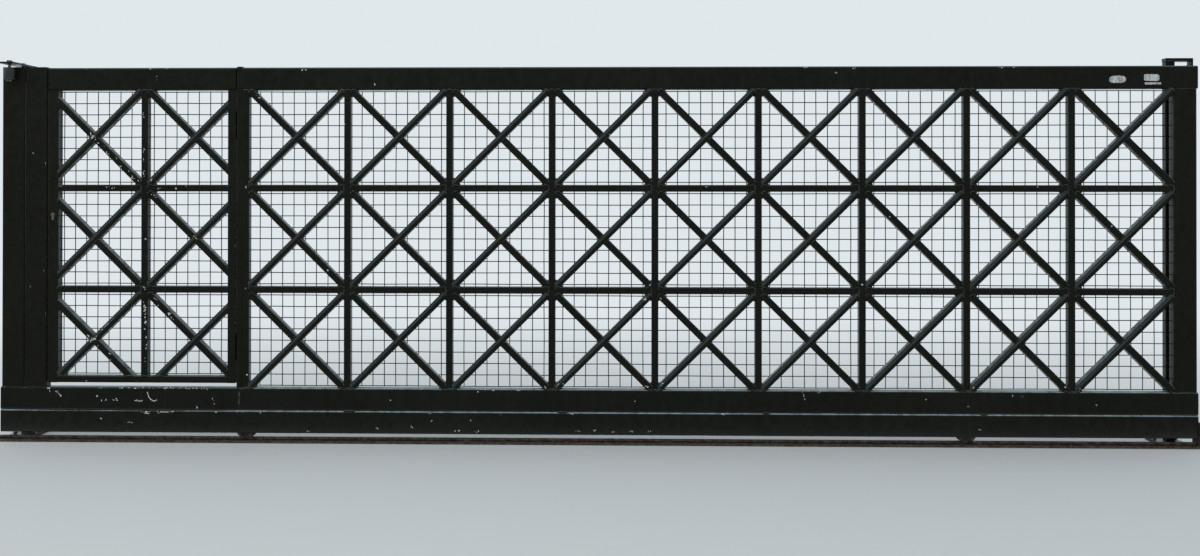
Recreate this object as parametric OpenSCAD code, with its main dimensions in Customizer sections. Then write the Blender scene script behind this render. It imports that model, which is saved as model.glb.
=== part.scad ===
// Sliding driveway gate of welded box section. A lattice leaf with a wicket door
// rolls on a ground rail between a guide post and a catch post.
// World frame: X along the gate (the leaf opens towards -X), -Y is the street side,
// +Z is up. The origin is on the underside of the catch post's base plate.

/* [Lattice] */
// Pitch of the uprights, centre to centre
bay_w = 450; // [400:5:500]
// Number of bays beside the wicket door
bays = 9; // [9:1:12]
// Clear height of the lattice between the upper beam and the top rail
field_h = 1310; // [1200:10:1400]
// Number of rows of lattice cells
rows = 3; // [3:1:4]
// Side of the square lattice tube
bar = 30; // [26:1:33]
// Wall of the lattice tube
bar_wall = 2; // [1.5:0.5:3]
// Outer corner radius of the lattice tube
bar_r = 4; // [3.5:0.5:6]

/* [Leaf frame] */
// Height of the box section in the rails, beams and wide stiles
rail_h = 100; // [80:5:120]
// Depth of the leaf frame from front to back
frame_d = 40; // [36:1:60]
// Wall of the frame tubes
frame_wall = 4; // [3:0.5:4]
// Outer corner radius of the frame tubes
frame_r = 8; // [6:0.5:9]
// Width of the tube that the wicket door closes beside
jamb_w = 25; // [22:1:40]
// Thickness of the plates that close the tube ends
cap_t = 3; // [2:0.5:6]

/* [Wicket door] */
// Width of the door over its frame
door_w = 835; // [800:5:860]
// Depth of the door's stiles and bottom rail
door_d = 35; // [34:1:38]
// Width of the lock stile
lock_stile_w = 45; // [38:1:55]
// Width of the hinge stile
hinge_stile_w = 35; // [28:1:40]
// Height of the bottom rail
door_sill_h = 30; // [25:1:40]
// Gap between the hinge stile and its jamb
hinge_gap = 5; // [5:0.5:8]
// Gap between the lock stile and the leaf's stile
lock_gap = 7; // [6.5:0.5:12]
// Gap under the door
floor_gap = 20; // [12:1:30]
// Wall of the door's own tubes
door_wall = 2; // [1.5:0.5:3]
// Height of the lock cylinder above the underside of the door
lock_z = 740; // [600:10:900]
// Radius of the round part of the lock cylinder
lock_r = 8.5; // [8:0.5:9]
// Width of the lock cylinder's web
lock_web = 10; // [9:0.5:11]
// Height of the lock cylinder's outline
lock_h = 33; // [30:0.5:34]
// How far the lock cylinder stands proud of the stile
lock_proud = 3; // [2:0.5:5]

/* [Hinges] */
// Radius of the hinge barrels
barrel_r = 10; // [8:0.5:12]
// Radius of the hinge pins
pin_r = 5; // [4:0.5:6]
// Length of one barrel
barrel_l = 60; // [40:5:80]
// Reach of a hinge pin into the upper barrel
hinge_pin_l = 48; // [30:1:50]
// Distance of the hinges from the ends of the door's hinge stile
hinge_inset = 150; // [100:10:300]
// Thickness of the weld plates that carry the barrels
hinge_plate_t = 5; // [4:0.5:6]

/* [Wire mesh] */
// Pitch of the mesh's upright wires
upright_pitch = 50.5; // [45:0.5:75]
// Pitch of the mesh's level wires
level_pitch = 50; // [45:1:75]
// Number of bays behind the first sheet of mesh
sheet_bays = 3; // [2:1:6]
// How far the second sheet reaches past the axis of its upright
sheet_lap = 5; // [3:1:8]
// Thickness of the mesh wires
wire = 4; // [3:0.5:5]

/* [Wheels and track] */
// Radius of a wheel over its flanges
wheel_r = 45; // [42:0.5:50]
// Radius at the bottom of a wheel's groove
tread_r = 37; // [35:0.5:38]
// Width of a wheel's rim
wheel_w = 20; // [18:0.5:22]
// Radius of the axles
axle_r = 7; // [6:0.5:9]
// Radius of the axle heads
axle_head_r = 12.5; // [11:0.5:16]
// Radius of a wheel's hub
hub_r = 16; // [14:0.5:20]
// Bay number of the second wheel, counted from the door
wheel_bay = 7; // [4:1:8]
// Radius of the round ground rail
rail_r = 7; // [6:0.5:8]
// Width of the flat bar under the ground rail
sole_w = 60; // [50:5:80]
// Thickness of the flat bar under the ground rail
sole_t = 8; // [6:0.5:10]
// Height of the leaf's underside above the ground
leaf_z = 40; // [36:1:48]
// Travel of the leaf
travel = 4900; // [3000:50:4900]
// Thickness of the track's end stops
stop_t = 10; // [8:1:20]
// Height of the track's end stops over the rail's sole
stop_h = 100; // [80:5:120]

/* [Posts and guides] */
// Width of the catch post
post_w = 40; // [36:1:60]
// Depth of the catch post
post_d = 30; // [26:1:50]
// Height of the catch post over the top of the leaf
post_over = 40; // [30:5:80]
// Space between the back of the leaf and the catch post
post_gap = 15; // [10:1:30]
// Thickness of the tie at the top of the catch post
tie_t = 14; // [8:1:20]
// Reach of the tie beyond the catch post
tie_reach = 70; // [60:5:120]
// Side of the guide post
guide_post_w = 60; // [50:5:80]
// Wall of the guide post
guide_post_wall = 3; // [2:0.5:4]
// Space between the back of the leaf and the guide post
guide_post_gap = 60; // [50:5:100]
// Thickness of the guide bracket
guide_t = 8; // [6:1:12]
// Radius of the guide rollers
roller_r = 20; // [16:1:25]
// Height of the guide rollers
roller_h = 50; // [40:5:60]
// Radius of the guide roller pins
roller_pin_r = 6; // [5:0.5:8]
// Thickness of the base plates
base_t = 10; // [8:1:16]
// Radius of the anchor holes
anchor_r = 6; // [5:0.5:8]
// Distance of the anchor holes from the edges of their plates
anchor_edge = 15; // [12:1:25]
// Distance between the two anchor holes of a row
anchor_pitch = 30; // [28:1:40]
// Length of the wall plate at the end of the tie
wall_plate_l = 80; // [70:5:120]

/* [Hidden] */
$fn = 48;
// running clearance between a pin and what turns on it
RUN = 0.06;
// gap where one piece rests on another that moves
SEAT = 0.3;
// clearance of moving pieces
CLEAR = 5;
// space between a hinge barrel and the back of the leaf
HINGE_LIFT = 2;
// overreach of a cutting solid
CUT = 1;
// number of nodes that share the mesh of the bays
MESH_NODES = 9;

PAINT = [0.13, 0.14, 0.11];
WIRE_PAINT = [0.20, 0.21, 0.18];
STEEL = [0.45, 0.45, 0.44];
RUST = [0.36, 0.20, 0.13];

// heights
beam_z = leaf_z + rail_h;
field_z0 = leaf_z + 2 * rail_h;
field_z1 = field_z0 + field_h;
row_h = (field_h + bar) / rows;
leaf_top = field_z1 + rail_h;
door_z0 = field_z0 + floor_gap;
door_field_z0 = door_z0 + door_sill_h;
rail_z = sole_t + rail_r;
axle_z = sole_t + 2 * rail_r + SEAT + tread_r;
post_top = leaf_top + post_over;

// places along the leaf, measured from the axis of its first upright
jamb_x0 = -bar / 2 - jamb_w;
door_x1 = jamb_x0 - hinge_gap;
door_x0 = door_x1 - door_w;
lock_x1 = door_x0 + lock_stile_w;
hinge_x0 = door_x1 - hinge_stile_w;
door_post_x0 = door_x0 - lock_gap - rail_h;
leaf_x0 = door_post_x0 - rail_h;
end_stile_x0 = bays * bay_w - bar / 2;
leaf_x1 = end_stile_x0 + rail_h;
door_upright_x = -bay_w;
wheel_x = [0, wheel_bay * bay_w];

// length of a wheel's hub, which leaves room in the pocket and inside the beam
hub_w = frame_d - 2 * frame_wall - 4 * SEAT;

// the leaf frame in the world: the catch post stands behind the end stile
leaf_x = -(end_stile_x0 + post_w / 2);
leaf_y = -(post_d / 2 + post_gap + frame_d / 2);
front_y = -frame_d / 2;
back_y = frame_d / 2;
lattice_y = front_y + bar / 2;
door_y = front_y + door_d / 2;
mesh_y = front_y + bar;

// hinge axis behind the gap
hinge_x = door_x1 + hinge_gap / 2;
hinge_y = back_y + barrel_r + HINGE_LIFT;
hinge_z = [door_z0 + hinge_inset, leaf_top - rail_h - hinge_inset];

// guide post and rollers stand at the end of the leaf
guide_x = leaf_x0 + rail_h / 2;
guide_post_y = back_y + guide_post_gap + guide_post_w / 2;
roller_y = frame_d / 2 + CLEAR + roller_r;
roller_z = leaf_top - CLEAR - roller_h;
bracket_z = leaf_top + cap_t + 2 * CLEAR;

module on_leaf() translate([leaf_x, leaf_y, 0]) children();

// outlines
module rounded(w, h, r) {
    square([w - 2 * r, h], center = true);
    square([w, h - 2 * r], center = true);
    for (x = [-1, 1], y = [-1, 1])
        translate([x * (w / 2 - r), y * (h / 2 - r)]) circle(r);
}

module tube_outline(w, h, t, r) {
    difference() {
        rounded(w, h, r);
        rounded(w - 2 * t, h - 2 * t, r - t);
    }
}

// tube along X from x0 to x1, centred on y and z
module tube_x(x0, x1, y, z, d, h, t, r)
    translate([x0, y, z]) rotate([90, 0, 90]) linear_extrude(x1 - x0) tube_outline(d, h, t, r);

// tube along Z from z0 to z1, centred on x and y
module tube_z(z0, z1, x, y, w, d, t, r)
    translate([x, y, z0]) linear_extrude(z1 - z0) tube_outline(w, d, t, r);

module frame_tube_x(x0, x1, z) tube_x(x0, x1, 0, z, frame_d, rail_h, frame_wall, frame_r);
module frame_tube_z(z0, z1, x) tube_z(z0, z1, x, 0, rail_h, frame_d, frame_wall, frame_r);
module bar_x(x0, x1, z) tube_x(x0, x1, lattice_y, z, bar, bar, bar_wall, bar_r);
module bar_z(z0, z1, x) tube_z(z0, z1, x, lattice_y, bar, bar, bar_wall, bar_r);

module peg_y(r, y0, y1) translate([0, y1, 0]) rotate([90, 0, 0]) cylinder(r = r, h = y1 - y0);

// height of lattice line n, counted from the bottom
function line_z(n) = field_z0 - bar / 2 + n * row_h;

// clear height of lattice row n between its bars
function row_z0(n) = line_z(n) + bar / 2;
function row_z1(n) = line_z(n + 1) - bar / 2;

// two crossed diagonals between the lattice nodes at x0 and x0 + bay_w, lines n and n + 1
module cross(x0, n) {
    angle = atan2(row_h, bay_w);
    length = norm([row_h, bay_w]) + 2 * bar;
    translate([x0 + bay_w / 2, lattice_y, (line_z(n) + line_z(n + 1)) / 2])
        difference() {
            for (a = [-angle, angle]) rotate([0, a, 0]) cross_bar(bar, bar_r, length);
            for (a = [-angle, angle])
                rotate([0, a, 0]) cross_bar(bar - 2 * bar_wall, bar_r - bar_wall, length);
        }
}

module cross_bar(side, r, length)
    rotate([90, 0, 90]) linear_extrude(length, center = true) rounded(side, side, r);

// diagonals cut to the clear opening between x0..x1 and z0..z1
module brace(node_x, n, x0, x1, z0, z1)
    intersection() {
        cross(node_x, n);
        translate([x0, front_y - CUT, z0]) cube([x1 - x0, frame_d + CUT, z1 - z0]);
    }

module brace_rows(first, last) {
    color(PAINT) on_leaf() for (k = [0:bays - 1], n = [first:last])
        brace(k * bay_w, n, k * bay_w + bar / 2, (k + 1) * bay_w - bar / 2, row_z0(n), row_z1(n));
}

// welded mesh in the opening x0..x1, z0..z1, with its upright wires on a grid through grid_x
module mesh_sheet(x0, x1, z0, z1, grid_x) {
    first = ceil((x0 + wire / 2 - grid_x) / upright_pitch);
    last = floor((x1 - wire / 2 - grid_x) / upright_pitch);
    levels = floor((z1 - z0 - wire) / level_pitch);
    first_z = (z0 + z1 - levels * level_pitch) / 2;
    for (i = [first:last])
        translate([grid_x + i * upright_pitch - wire / 2, mesh_y, z0]) cube([wire, wire, z1 - z0]);
    for (j = [0:levels])
        translate([x0, mesh_y, first_z + j * level_pitch - wire / 2]) cube([x1 - x0, wire, wire]);
}

// first upright wire of the sheet behind bay k: the second sheet starts behind an upright
function sheet_x(k) = k < sheet_bays ? 0 : sheet_bays * bay_w - sheet_lap;

// left end of the mesh of bay k: behind the axis of its upright, or beside a wire that lies there
function bay_mesh_x0(k) =
    let (axis = k * bay_w)
    let (near = sheet_x(k) + round((axis - sheet_x(k)) / upright_pitch) * upright_pitch)
    k == 0 ? -bar / 2
    : k == sheet_bays || abs(near - axis) < wire ? near - wire / 2 - SEAT
    : axis;

module bay_mesh(k) {
    x1 = k == bays - 1 ? end_stile_x0 : bay_mesh_x0(k + 1) - SEAT;
    color(WIRE_PAINT) on_leaf() mesh_sheet(bay_mesh_x0(k), x1, field_z0, field_z1, sheet_x(k));
}

// share i of the bays, counted from the door
module mesh_share(i)
    for (k = [floor((i - 1) * bays / MESH_NODES):floor(i * bays / MESH_NODES) - 1]) bay_mesh(k);

// ground track
track_x0 = leaf_x0 - cap_t - travel - CLEAR - 2 * stop_t;
track_x1 = leaf_x1 + cap_t + CLEAR + 2 * stop_t;

module track_sole() {
    color(RUST) on_leaf() translate([track_x0, -sole_w / 2, 0]) cube([track_x1 - track_x0, sole_w, sole_t]);
}

module track_rail() {
    x0 = track_x0 + 2 * stop_t;
    x1 = track_x1 - 2 * stop_t;
    color(RUST) on_leaf() translate([x0, 0, rail_z]) rotate([0, 90, 0]) cylinder(r = rail_r, h = x1 - x0);
}

module track_stops() {
    color(RUST) on_leaf() for (x = [track_x0 + stop_t, track_x1 - 2 * stop_t])
        translate([x, -sole_w / 2, sole_t]) cube([stop_t, sole_w, stop_h]);
}

// catch post with its base plate and its tie to the wall
module catch_post() {
    color(PAINT) tube_z(base_t, post_top - tie_t, 0, 0, post_w, post_d, bar_wall, bar_r);
}

base_x = post_w / 2 + post_w;
base_y0 = leaf_y + sole_w / 2;
base_y1 = post_d / 2 + 2 * post_d;
tie_x1 = post_w / 2 + tie_reach;
wall_plate_z0 = post_top - wall_plate_l;

// the plate butts against the sole of the track, and its anchors stand behind the post
module catch_post_base() {
    color(PAINT) difference() {
        translate([-base_x, base_y0, 0]) cube([2 * base_x, base_y1 - base_y0, base_t]);
        for (x = [-1, 1], y = [base_y1 - anchor_edge - anchor_pitch, base_y1 - anchor_edge])
            translate([x * (base_x - anchor_edge), y, -CUT]) cylinder(r = anchor_r, h = base_t + 2 * CUT);
    }
}

module catch_post_tie() {
    color(PAINT) {
        translate([-post_w / 2, -post_d / 2, post_top - tie_t]) cube([tie_x1 + post_w / 2, post_d, tie_t]);
        difference() {
            translate([tie_x1, -post_d / 2, wall_plate_z0]) cube([guide_t, post_d, wall_plate_l]);
            for (z = [anchor_edge, anchor_edge + anchor_pitch])
                translate([tie_x1 - CUT, 0, wall_plate_z0 + z])
                    rotate([0, 90, 0]) cylinder(r = anchor_r, h = guide_t + 2 * CUT);
        }
    }
}

// guide post with its bracket, pins and rollers
module guide_post() {
    color(PAINT) on_leaf()
        tube_z(base_t, bracket_z, guide_x, guide_post_y, guide_post_w, guide_post_w, guide_post_wall, bar_r);
}

// half the length of the plate, whose front edge butts against the sole of the track
guide_base = guide_post_w;

module guide_post_base() {
    y1 = guide_post_y + guide_base;
    anchor = guide_base - anchor_edge;
    color(PAINT) on_leaf() difference() {
        translate([guide_x - guide_base, sole_w / 2, 0]) cube([2 * guide_base, y1 - sole_w / 2, base_t]);
        for (x = [-1, 1], y = [-1, 1])
            translate([guide_x + x * anchor, guide_post_y + y * anchor, -CUT])
                cylinder(r = anchor_r, h = base_t + 2 * CUT);
    }
}

module guide_bracket() {
    y0 = -roller_y - roller_r;
    y1 = guide_post_y + guide_post_w / 2;
    color(PAINT) on_leaf() difference() {
        translate([guide_x - guide_post_w / 2, y0, bracket_z]) cube([guide_post_w, y1 - y0, guide_t]);
        for (s = [-1, 1])
            translate([guide_x, s * roller_y, bracket_z - CUT])
                cylinder(r = roller_pin_r + RUN, h = guide_t + 2 * CUT);
    }
}

module guide_pins() {
    z0 = roller_z - guide_t;
    color(STEEL) on_leaf() for (s = [-1, 1]) translate([guide_x, s * roller_y, z0]) {
        cylinder(r = roller_pin_r, h = bracket_z + guide_t - z0);
        cylinder(r = 2 * roller_pin_r, h = guide_t - SEAT);
    }
}

module guide_roller(s) {
    color(STEEL) on_leaf() translate([guide_x, s * roller_y, roller_z]) difference() {
        cylinder(r = roller_r, h = roller_h);
        translate([0, 0, -CUT]) cylinder(r = roller_pin_r + RUN, h = roller_h + 2 * CUT);
    }
}

// leaf frame
module lower_beam() {
    pocket = wheel_r + CLEAR;
    pocket_w = hub_w + 2 * SEAT;
    color(PAINT) on_leaf() difference() {
        frame_tube_x(leaf_x0, leaf_x1, leaf_z + rail_h / 2);
        for (x = wheel_x) translate([x, 0, 0]) {
            translate([-pocket, -pocket_w / 2, leaf_z - CUT]) cube([2 * pocket, pocket_w, frame_r + CUT]);
            translate([0, 0, axle_z]) peg_y(axle_r + RUN, front_y - CUT, back_y + CUT);
        }
    }
}

module upper_beam() {
    color(PAINT) on_leaf() frame_tube_x(leaf_x0, leaf_x1, beam_z + rail_h / 2);
}

module top_rail() {
    color(PAINT) on_leaf() frame_tube_x(-bar / 2, leaf_x1, leaf_top - rail_h / 2);
}

module tail_stile() {
    color(PAINT) on_leaf() frame_tube_z(field_z0, leaf_top, leaf_x0 + rail_h / 2);
}

module door_post() {
    color(PAINT) on_leaf() frame_tube_z(field_z0, leaf_top, door_post_x0 + rail_h / 2);
}

module door_jamb() {
    color(PAINT) on_leaf()
        tube_z(field_z0, leaf_top, jamb_x0 + jamb_w / 2, 0, jamb_w, frame_d, bar_wall, bar_r);
}

module end_stile() {
    color(PAINT) on_leaf() frame_tube_z(field_z0, field_z1, leaf_x1 - rail_h / 2);
}

// plates that close the open ends of the leaf's tubes
module end_caps() {
    color(PAINT) on_leaf() {
        for (z = [leaf_z, beam_z]) translate([leaf_x0 - cap_t, 0, z + rail_h / 2])
            rotate([90, 0, 90]) linear_extrude(cap_t) rounded(frame_d, rail_h, frame_r);
        for (z = [leaf_z, beam_z, field_z1]) translate([leaf_x1, 0, z + rail_h / 2])
            rotate([90, 0, 90]) linear_extrude(cap_t) rounded(frame_d, rail_h, frame_r);
        for (x = [leaf_x0, door_post_x0]) translate([x + rail_h / 2, 0, leaf_top])
            linear_extrude(cap_t) rounded(rail_h - SEAT, frame_d, frame_r);
        translate([jamb_x0 + jamb_w / 2, 0, leaf_top])
            linear_extrude(cap_t) rounded(jamb_w, frame_d, bar_r);
    }
}

module uprights() {
    color(PAINT) on_leaf() for (k = [0:bays - 1]) bar_z(field_z0, field_z1, k * bay_w);
}

module cross_rails() {
    color(PAINT) on_leaf() for (k = [0:bays - 1], n = [1:rows - 1])
        bar_x(k * bay_w + bar / 2, (k + 1) * bay_w - bar / 2, line_z(n));
}

// lift-off hinges: the leaf carries the lower barrels with the pins, the door the upper ones
module leaf_hinges() {
    color(STEEL) on_leaf() for (z = hinge_z) {
        translate([hinge_x, back_y, z - barrel_l])
            cube([jamb_x0 + jamb_w - hinge_x, hinge_plate_t, barrel_l]);
        translate([hinge_x, hinge_y, z - barrel_l]) cylinder(r = barrel_r, h = barrel_l);
        translate([hinge_x, hinge_y, z - CUT]) cylinder(r = pin_r, h = hinge_pin_l + CUT);
    }
}

module door_hinges() {
    strap_y = door_y + door_d / 2;
    color(STEEL) on_leaf() for (z = hinge_z) translate([0, 0, z + SEAT]) difference() {
        union() {
            translate([hinge_x, hinge_y, 0]) cylinder(r = barrel_r, h = barrel_l);
            translate([hinge_x0, strap_y, 0]) cube([hinge_stile_w, hinge_plate_t, barrel_l]);
            translate([door_x1 - hinge_plate_t, strap_y, 0])
                cube([hinge_plate_t, hinge_y - strap_y - pin_r, barrel_l]);
        }
        translate([hinge_x, hinge_y, -CUT]) cylinder(r = pin_r + RUN, h = hinge_pin_l + 2 * CUT);
    }
}

// wheels run inside the lower beam on axles through its walls
module wheel_axles() {
    color(STEEL) on_leaf() for (x = wheel_x) translate([x, 0, axle_z]) {
        peg_y(axle_r, front_y, back_y);
        peg_y(axle_head_r, back_y, back_y + axle_r);
    }
}

module wheel(x) {
    groove_r = rail_r + SEAT;
    color(STEEL) on_leaf() translate([x, 0, axle_z]) rotate([90, 0, 0]) difference() {
        union() {
            cylinder(r = wheel_r, h = wheel_w, center = true);
            cylinder(r = hub_r, h = hub_w, center = true);
        }
        cylinder(r = axle_r + RUN, h = hub_w + 2 * CUT, center = true);
        rotate_extrude() translate([tread_r + groove_r, 0]) circle(groove_r);
    }
}

// wicket door
module door_lock_stile() {
    x = door_x0 + lock_stile_w / 2;
    color(PAINT) on_leaf() difference() {
        tube_z(door_z0, field_z1, x, door_y, lock_stile_w, door_d, door_wall, bar_r);
        cylinder_profile(SEAT);
    }
}

module door_hinge_stile() {
    x = door_x1 - hinge_stile_w / 2;
    color(PAINT) on_leaf() tube_z(door_z0, field_z1, x, door_y, hinge_stile_w, door_d, door_wall, bar_r);
}

module door_top_rail() {
    color(PAINT) on_leaf() frame_tube_x(door_x0, door_x1, leaf_top - rail_h / 2);
}

module door_sill() {
    z = door_z0 + door_sill_h / 2;
    color(PAINT) on_leaf() tube_x(lock_x1, hinge_x0, door_y, z, door_d, door_sill_h, door_wall, bar_r);
}

module door_upright() {
    color(PAINT) on_leaf() bar_z(door_field_z0, field_z1, door_upright_x);
}

module door_cross_rails() {
    color(PAINT) on_leaf() for (n = [1:rows - 1]) {
        bar_x(lock_x1, door_upright_x - bar / 2, line_z(n));
        bar_x(door_upright_x + bar / 2, hinge_x0, line_z(n));
    }
}

module door_braces() {
    color(PAINT) on_leaf() for (n = [0:rows - 1]) {
        z0 = max(door_field_z0, row_z0(n));
        brace(-2 * bay_w, n, lock_x1, door_upright_x - bar / 2, z0, row_z1(n));
        brace(-bay_w, n, door_upright_x + bar / 2, hinge_x0, z0, row_z1(n));
    }
}

// the door's mesh is one sheet, centred on the upright between two of its wires
module door_mesh(x0, x1) {
    color(WIRE_PAINT) on_leaf()
        mesh_sheet(x0, x1, door_field_z0, field_z1, door_upright_x + upright_pitch / 2);
}

module door_mesh_left() door_mesh(lock_x1, door_upright_x - SEAT / 2);
module door_mesh_right() door_mesh(door_upright_x + SEAT / 2, hinge_x0);

// lock cylinder of keyhole outline, right through the lock stile and a little proud of it
module cylinder_profile(extra) {
    web = lock_web + 2 * extra;
    web_end = lock_r - lock_h + lock_web / 2;
    translate([door_x0 + lock_stile_w / 2, front_y + door_d + lock_proud, door_z0 + lock_z])
        rotate([90, 0, 0]) linear_extrude(door_d + 2 * lock_proud) {
            circle(lock_r + extra);
            translate([-web / 2, web_end]) square([web, -web_end]);
            translate([0, web_end]) circle(web / 2);
        }
}

module door_lock() {
    color(STEEL) on_leaf() cylinder_profile(0);
}

track_sole();
track_rail();
track_stops();
catch_post();
catch_post_base();
catch_post_tie();
guide_post();
guide_post_base();
guide_bracket();
guide_pins();
guide_roller(-1);  // roller_front
guide_roller(1);  // roller_back
lower_beam();
upper_beam();
top_rail();
tail_stile();
door_post();
door_jamb();
end_stile();
end_caps();
uprights();
cross_rails();
brace_rows(0, 0);  // braces_lower
brace_rows(1, rows - 2);  // braces_middle
brace_rows(rows - 1, rows - 1);  // braces_upper
mesh_share(1);  // mesh_1
mesh_share(2);  // mesh_2
mesh_share(3);  // mesh_3
mesh_share(4);  // mesh_4
mesh_share(5);  // mesh_5
mesh_share(6);  // mesh_6
mesh_share(7);  // mesh_7
mesh_share(8);  // mesh_8
mesh_share(9);  // mesh_9
leaf_hinges();
wheel_axles();
wheel(wheel_x[0]);  // wheel_left
wheel(wheel_x[1]);  // wheel_right
door_lock_stile();
door_hinge_stile();
door_top_rail();
door_sill();
door_upright();
door_cross_rails();
door_braces();
door_mesh_left();
door_mesh_right();
door_hinges();
door_lock();
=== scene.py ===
import math
import bpy
import numpy as np
from mathutils import Matrix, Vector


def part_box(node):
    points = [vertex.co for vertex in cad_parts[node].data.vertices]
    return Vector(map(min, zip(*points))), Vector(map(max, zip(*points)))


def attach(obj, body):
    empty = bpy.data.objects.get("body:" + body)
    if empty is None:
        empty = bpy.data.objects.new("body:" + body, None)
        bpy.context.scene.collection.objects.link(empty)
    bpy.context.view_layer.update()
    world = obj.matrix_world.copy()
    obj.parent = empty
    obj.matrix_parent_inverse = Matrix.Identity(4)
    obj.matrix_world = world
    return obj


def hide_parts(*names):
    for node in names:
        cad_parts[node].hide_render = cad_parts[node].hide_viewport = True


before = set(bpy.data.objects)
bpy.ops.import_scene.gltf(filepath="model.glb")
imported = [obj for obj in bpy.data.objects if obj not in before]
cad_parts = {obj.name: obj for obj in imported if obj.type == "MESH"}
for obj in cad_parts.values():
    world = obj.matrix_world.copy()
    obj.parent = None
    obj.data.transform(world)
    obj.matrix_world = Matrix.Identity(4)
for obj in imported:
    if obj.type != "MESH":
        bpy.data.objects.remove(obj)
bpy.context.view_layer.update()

# Measures, in metres, read from the frame where it holds them
BAY, BAYS, ROWS = 0.450, 9, 3
FRONT, BAR_BACK = (c.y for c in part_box("uprights"))   # front plane of the leaf, back plane of the lattice
BAR = BAR_BACK - FRONT                          # side of the lattice tube
HALF = BAR / 2
X0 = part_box("uprights")[0].x + HALF             # axis of the first upright
BEAM_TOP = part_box("upper_beam")[1].z
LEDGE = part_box("upper_beam")[0].z
LEAF_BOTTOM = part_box("lower_beam")[0].z
LEAF_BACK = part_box("upper_beam")[1].y
RAIL_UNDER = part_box("top_rail")[0].z
LEAF_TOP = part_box("top_rail")[1].z
END_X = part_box("end_stile")[0].x                # inner side of the right stile
ROW = (RAIL_UNDER - BEAM_TOP + BAR) / ROWS      # pitch of the lattice lines
LEAN = math.hypot(BAY, ROW)                     # length of a diagonal between two nodes
Z0 = BEAM_TOP - HALF                            # height of lattice line 0
DOOR_X = X0 - BAY                               # axis of the door's upright
UPRIGHT_PITCH, LEVEL_PITCH = 0.0505, 0.050      # pitches of the mesh
SHEET_X = X0 + 3 * BAY - 0.005                  # first wire of the second sheet
WIRE = 0.002                                    # radius of a mesh wire
LEVEL_WIRES = 27                                # level wires of a sheet on the leaf
FIRST_WIRES, SECOND_WIRES, DOOR_WIRES = 27, 54, 15   # upright wires of the leaf's two sheets and the door's
LOCK_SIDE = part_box("door_lock_stile")[1].x      # inner side of the door's lock stile
HINGE_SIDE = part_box("door_hinge_stile")[0].x    # inner side of the door's hinge stile
SILL_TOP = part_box("door_sill")[1].z
DOOR_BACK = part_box("door_lock_stile")[1].y
BAR_R, FRAME_R = 0.004, 0.008                   # corner radii of the lattice and the frame tubes
TRACK_Y = (FRONT + LEAF_BACK) / 2               # middle plane of the leaf and the track
UP = (0, 0, 1)
MM = 1000                                       # millimetres in a metre


def line_z(n):
    """Height of lattice line n, counted from the beam."""
    return Z0 + n * ROW


def node_x(k):
    """Place of lattice line k along the gate, counted from the first upright."""
    return X0 + k * BAY


# Surfaces
def unit(v):
    """Vectors scaled to length 1."""
    return v / np.linalg.norm(v, axis=-1, keepdims=True)


def circle(count):
    """Points (cos a, sin a) at count even steps of a once round."""
    a = np.arange(count) * 2 * np.pi / count
    return np.stack([np.cos(a), np.sin(a)], -1)


def carry(paths, radii, sides=8, ref=(0, 1, 0), profile=None):
    """Rings of a profile carried along paths.

    A ring at station P with tangent T is P + r * (u * U + v * V), where U is at right angles to
    ref and T, V to T and U, and (u, v) runs once round the profile, a circle by default.
    paths is (pieces, stations, 3) and radii spreads over (pieces, stations).
    """
    paths = np.asarray(paths, float)
    radii = np.broadcast_to(radii, paths.shape[:2])[..., None, None]
    if profile is None:
        profile = circle(sides)
    t = unit(np.gradient(paths, axis=1))
    u = unit(np.cross(np.broadcast_to(np.asarray(ref, float), t.shape), t))
    v = np.cross(t, u)
    ring = profile[:, :1] * u[:, :, None] + profile[:, 1:] * v[:, :, None]
    return paths[:, :, None] + radii * ring


def spans(a, b, t):
    """Straight paths from points a to points b through the shares t of their length."""
    a, b = np.asarray(a, float), np.asarray(b, float)
    return a[:, None] + (b - a)[:, None] * np.asarray(t)[None, :, None]


def beads(a, b, r, ref=(0, 1, 0), stations=9, sides=7, flat=1.0, seed=1):
    """Weld beads from a to b: a circle of radius r * sqrt(1 - s^4) carried along the joint, where s
    runs from -1 to 1, with ripples of about a tenth of the radius; flat squeezes them along ref."""
    rng = np.random.default_rng(seed)
    s = -np.cos(np.linspace(0.12, np.pi - 0.12, stations))
    paths = spans(a, b, (s + 1) / 2)
    wave = 0.12 * np.sin(s * 9 + rng.uniform(0, 6.3, (len(paths), 1)))
    ripple = 1 + wave + rng.uniform(-0.1, 0.1, (len(paths), stations))
    radii = r * np.sqrt(1 - s ** 4) * ripple
    return carry(paths, radii, ref=ref, profile=circle(sides) * (1, flat))


def turn(centres, axis, steps, sides=24, side_ref=(0.0, 0.0, 1.0)):
    """Rings turned about an axis through each centre: centre + d * axis + r * (u cos a + v sin a)
    for each (d, r) of steps, with u at right angles to side_ref."""
    axis = unit(np.asarray(axis, float))
    u = unit(np.cross(side_ref, axis))
    v = np.cross(axis, u)
    around = circle(sides)
    ring = around[:, :1] * u + around[:, 1:] * v
    d, r = np.asarray(steps, float).T
    return np.asarray(centres, float)[:, None, None] + d[:, None, None] * axis + r[:, None, None] * ring


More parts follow.
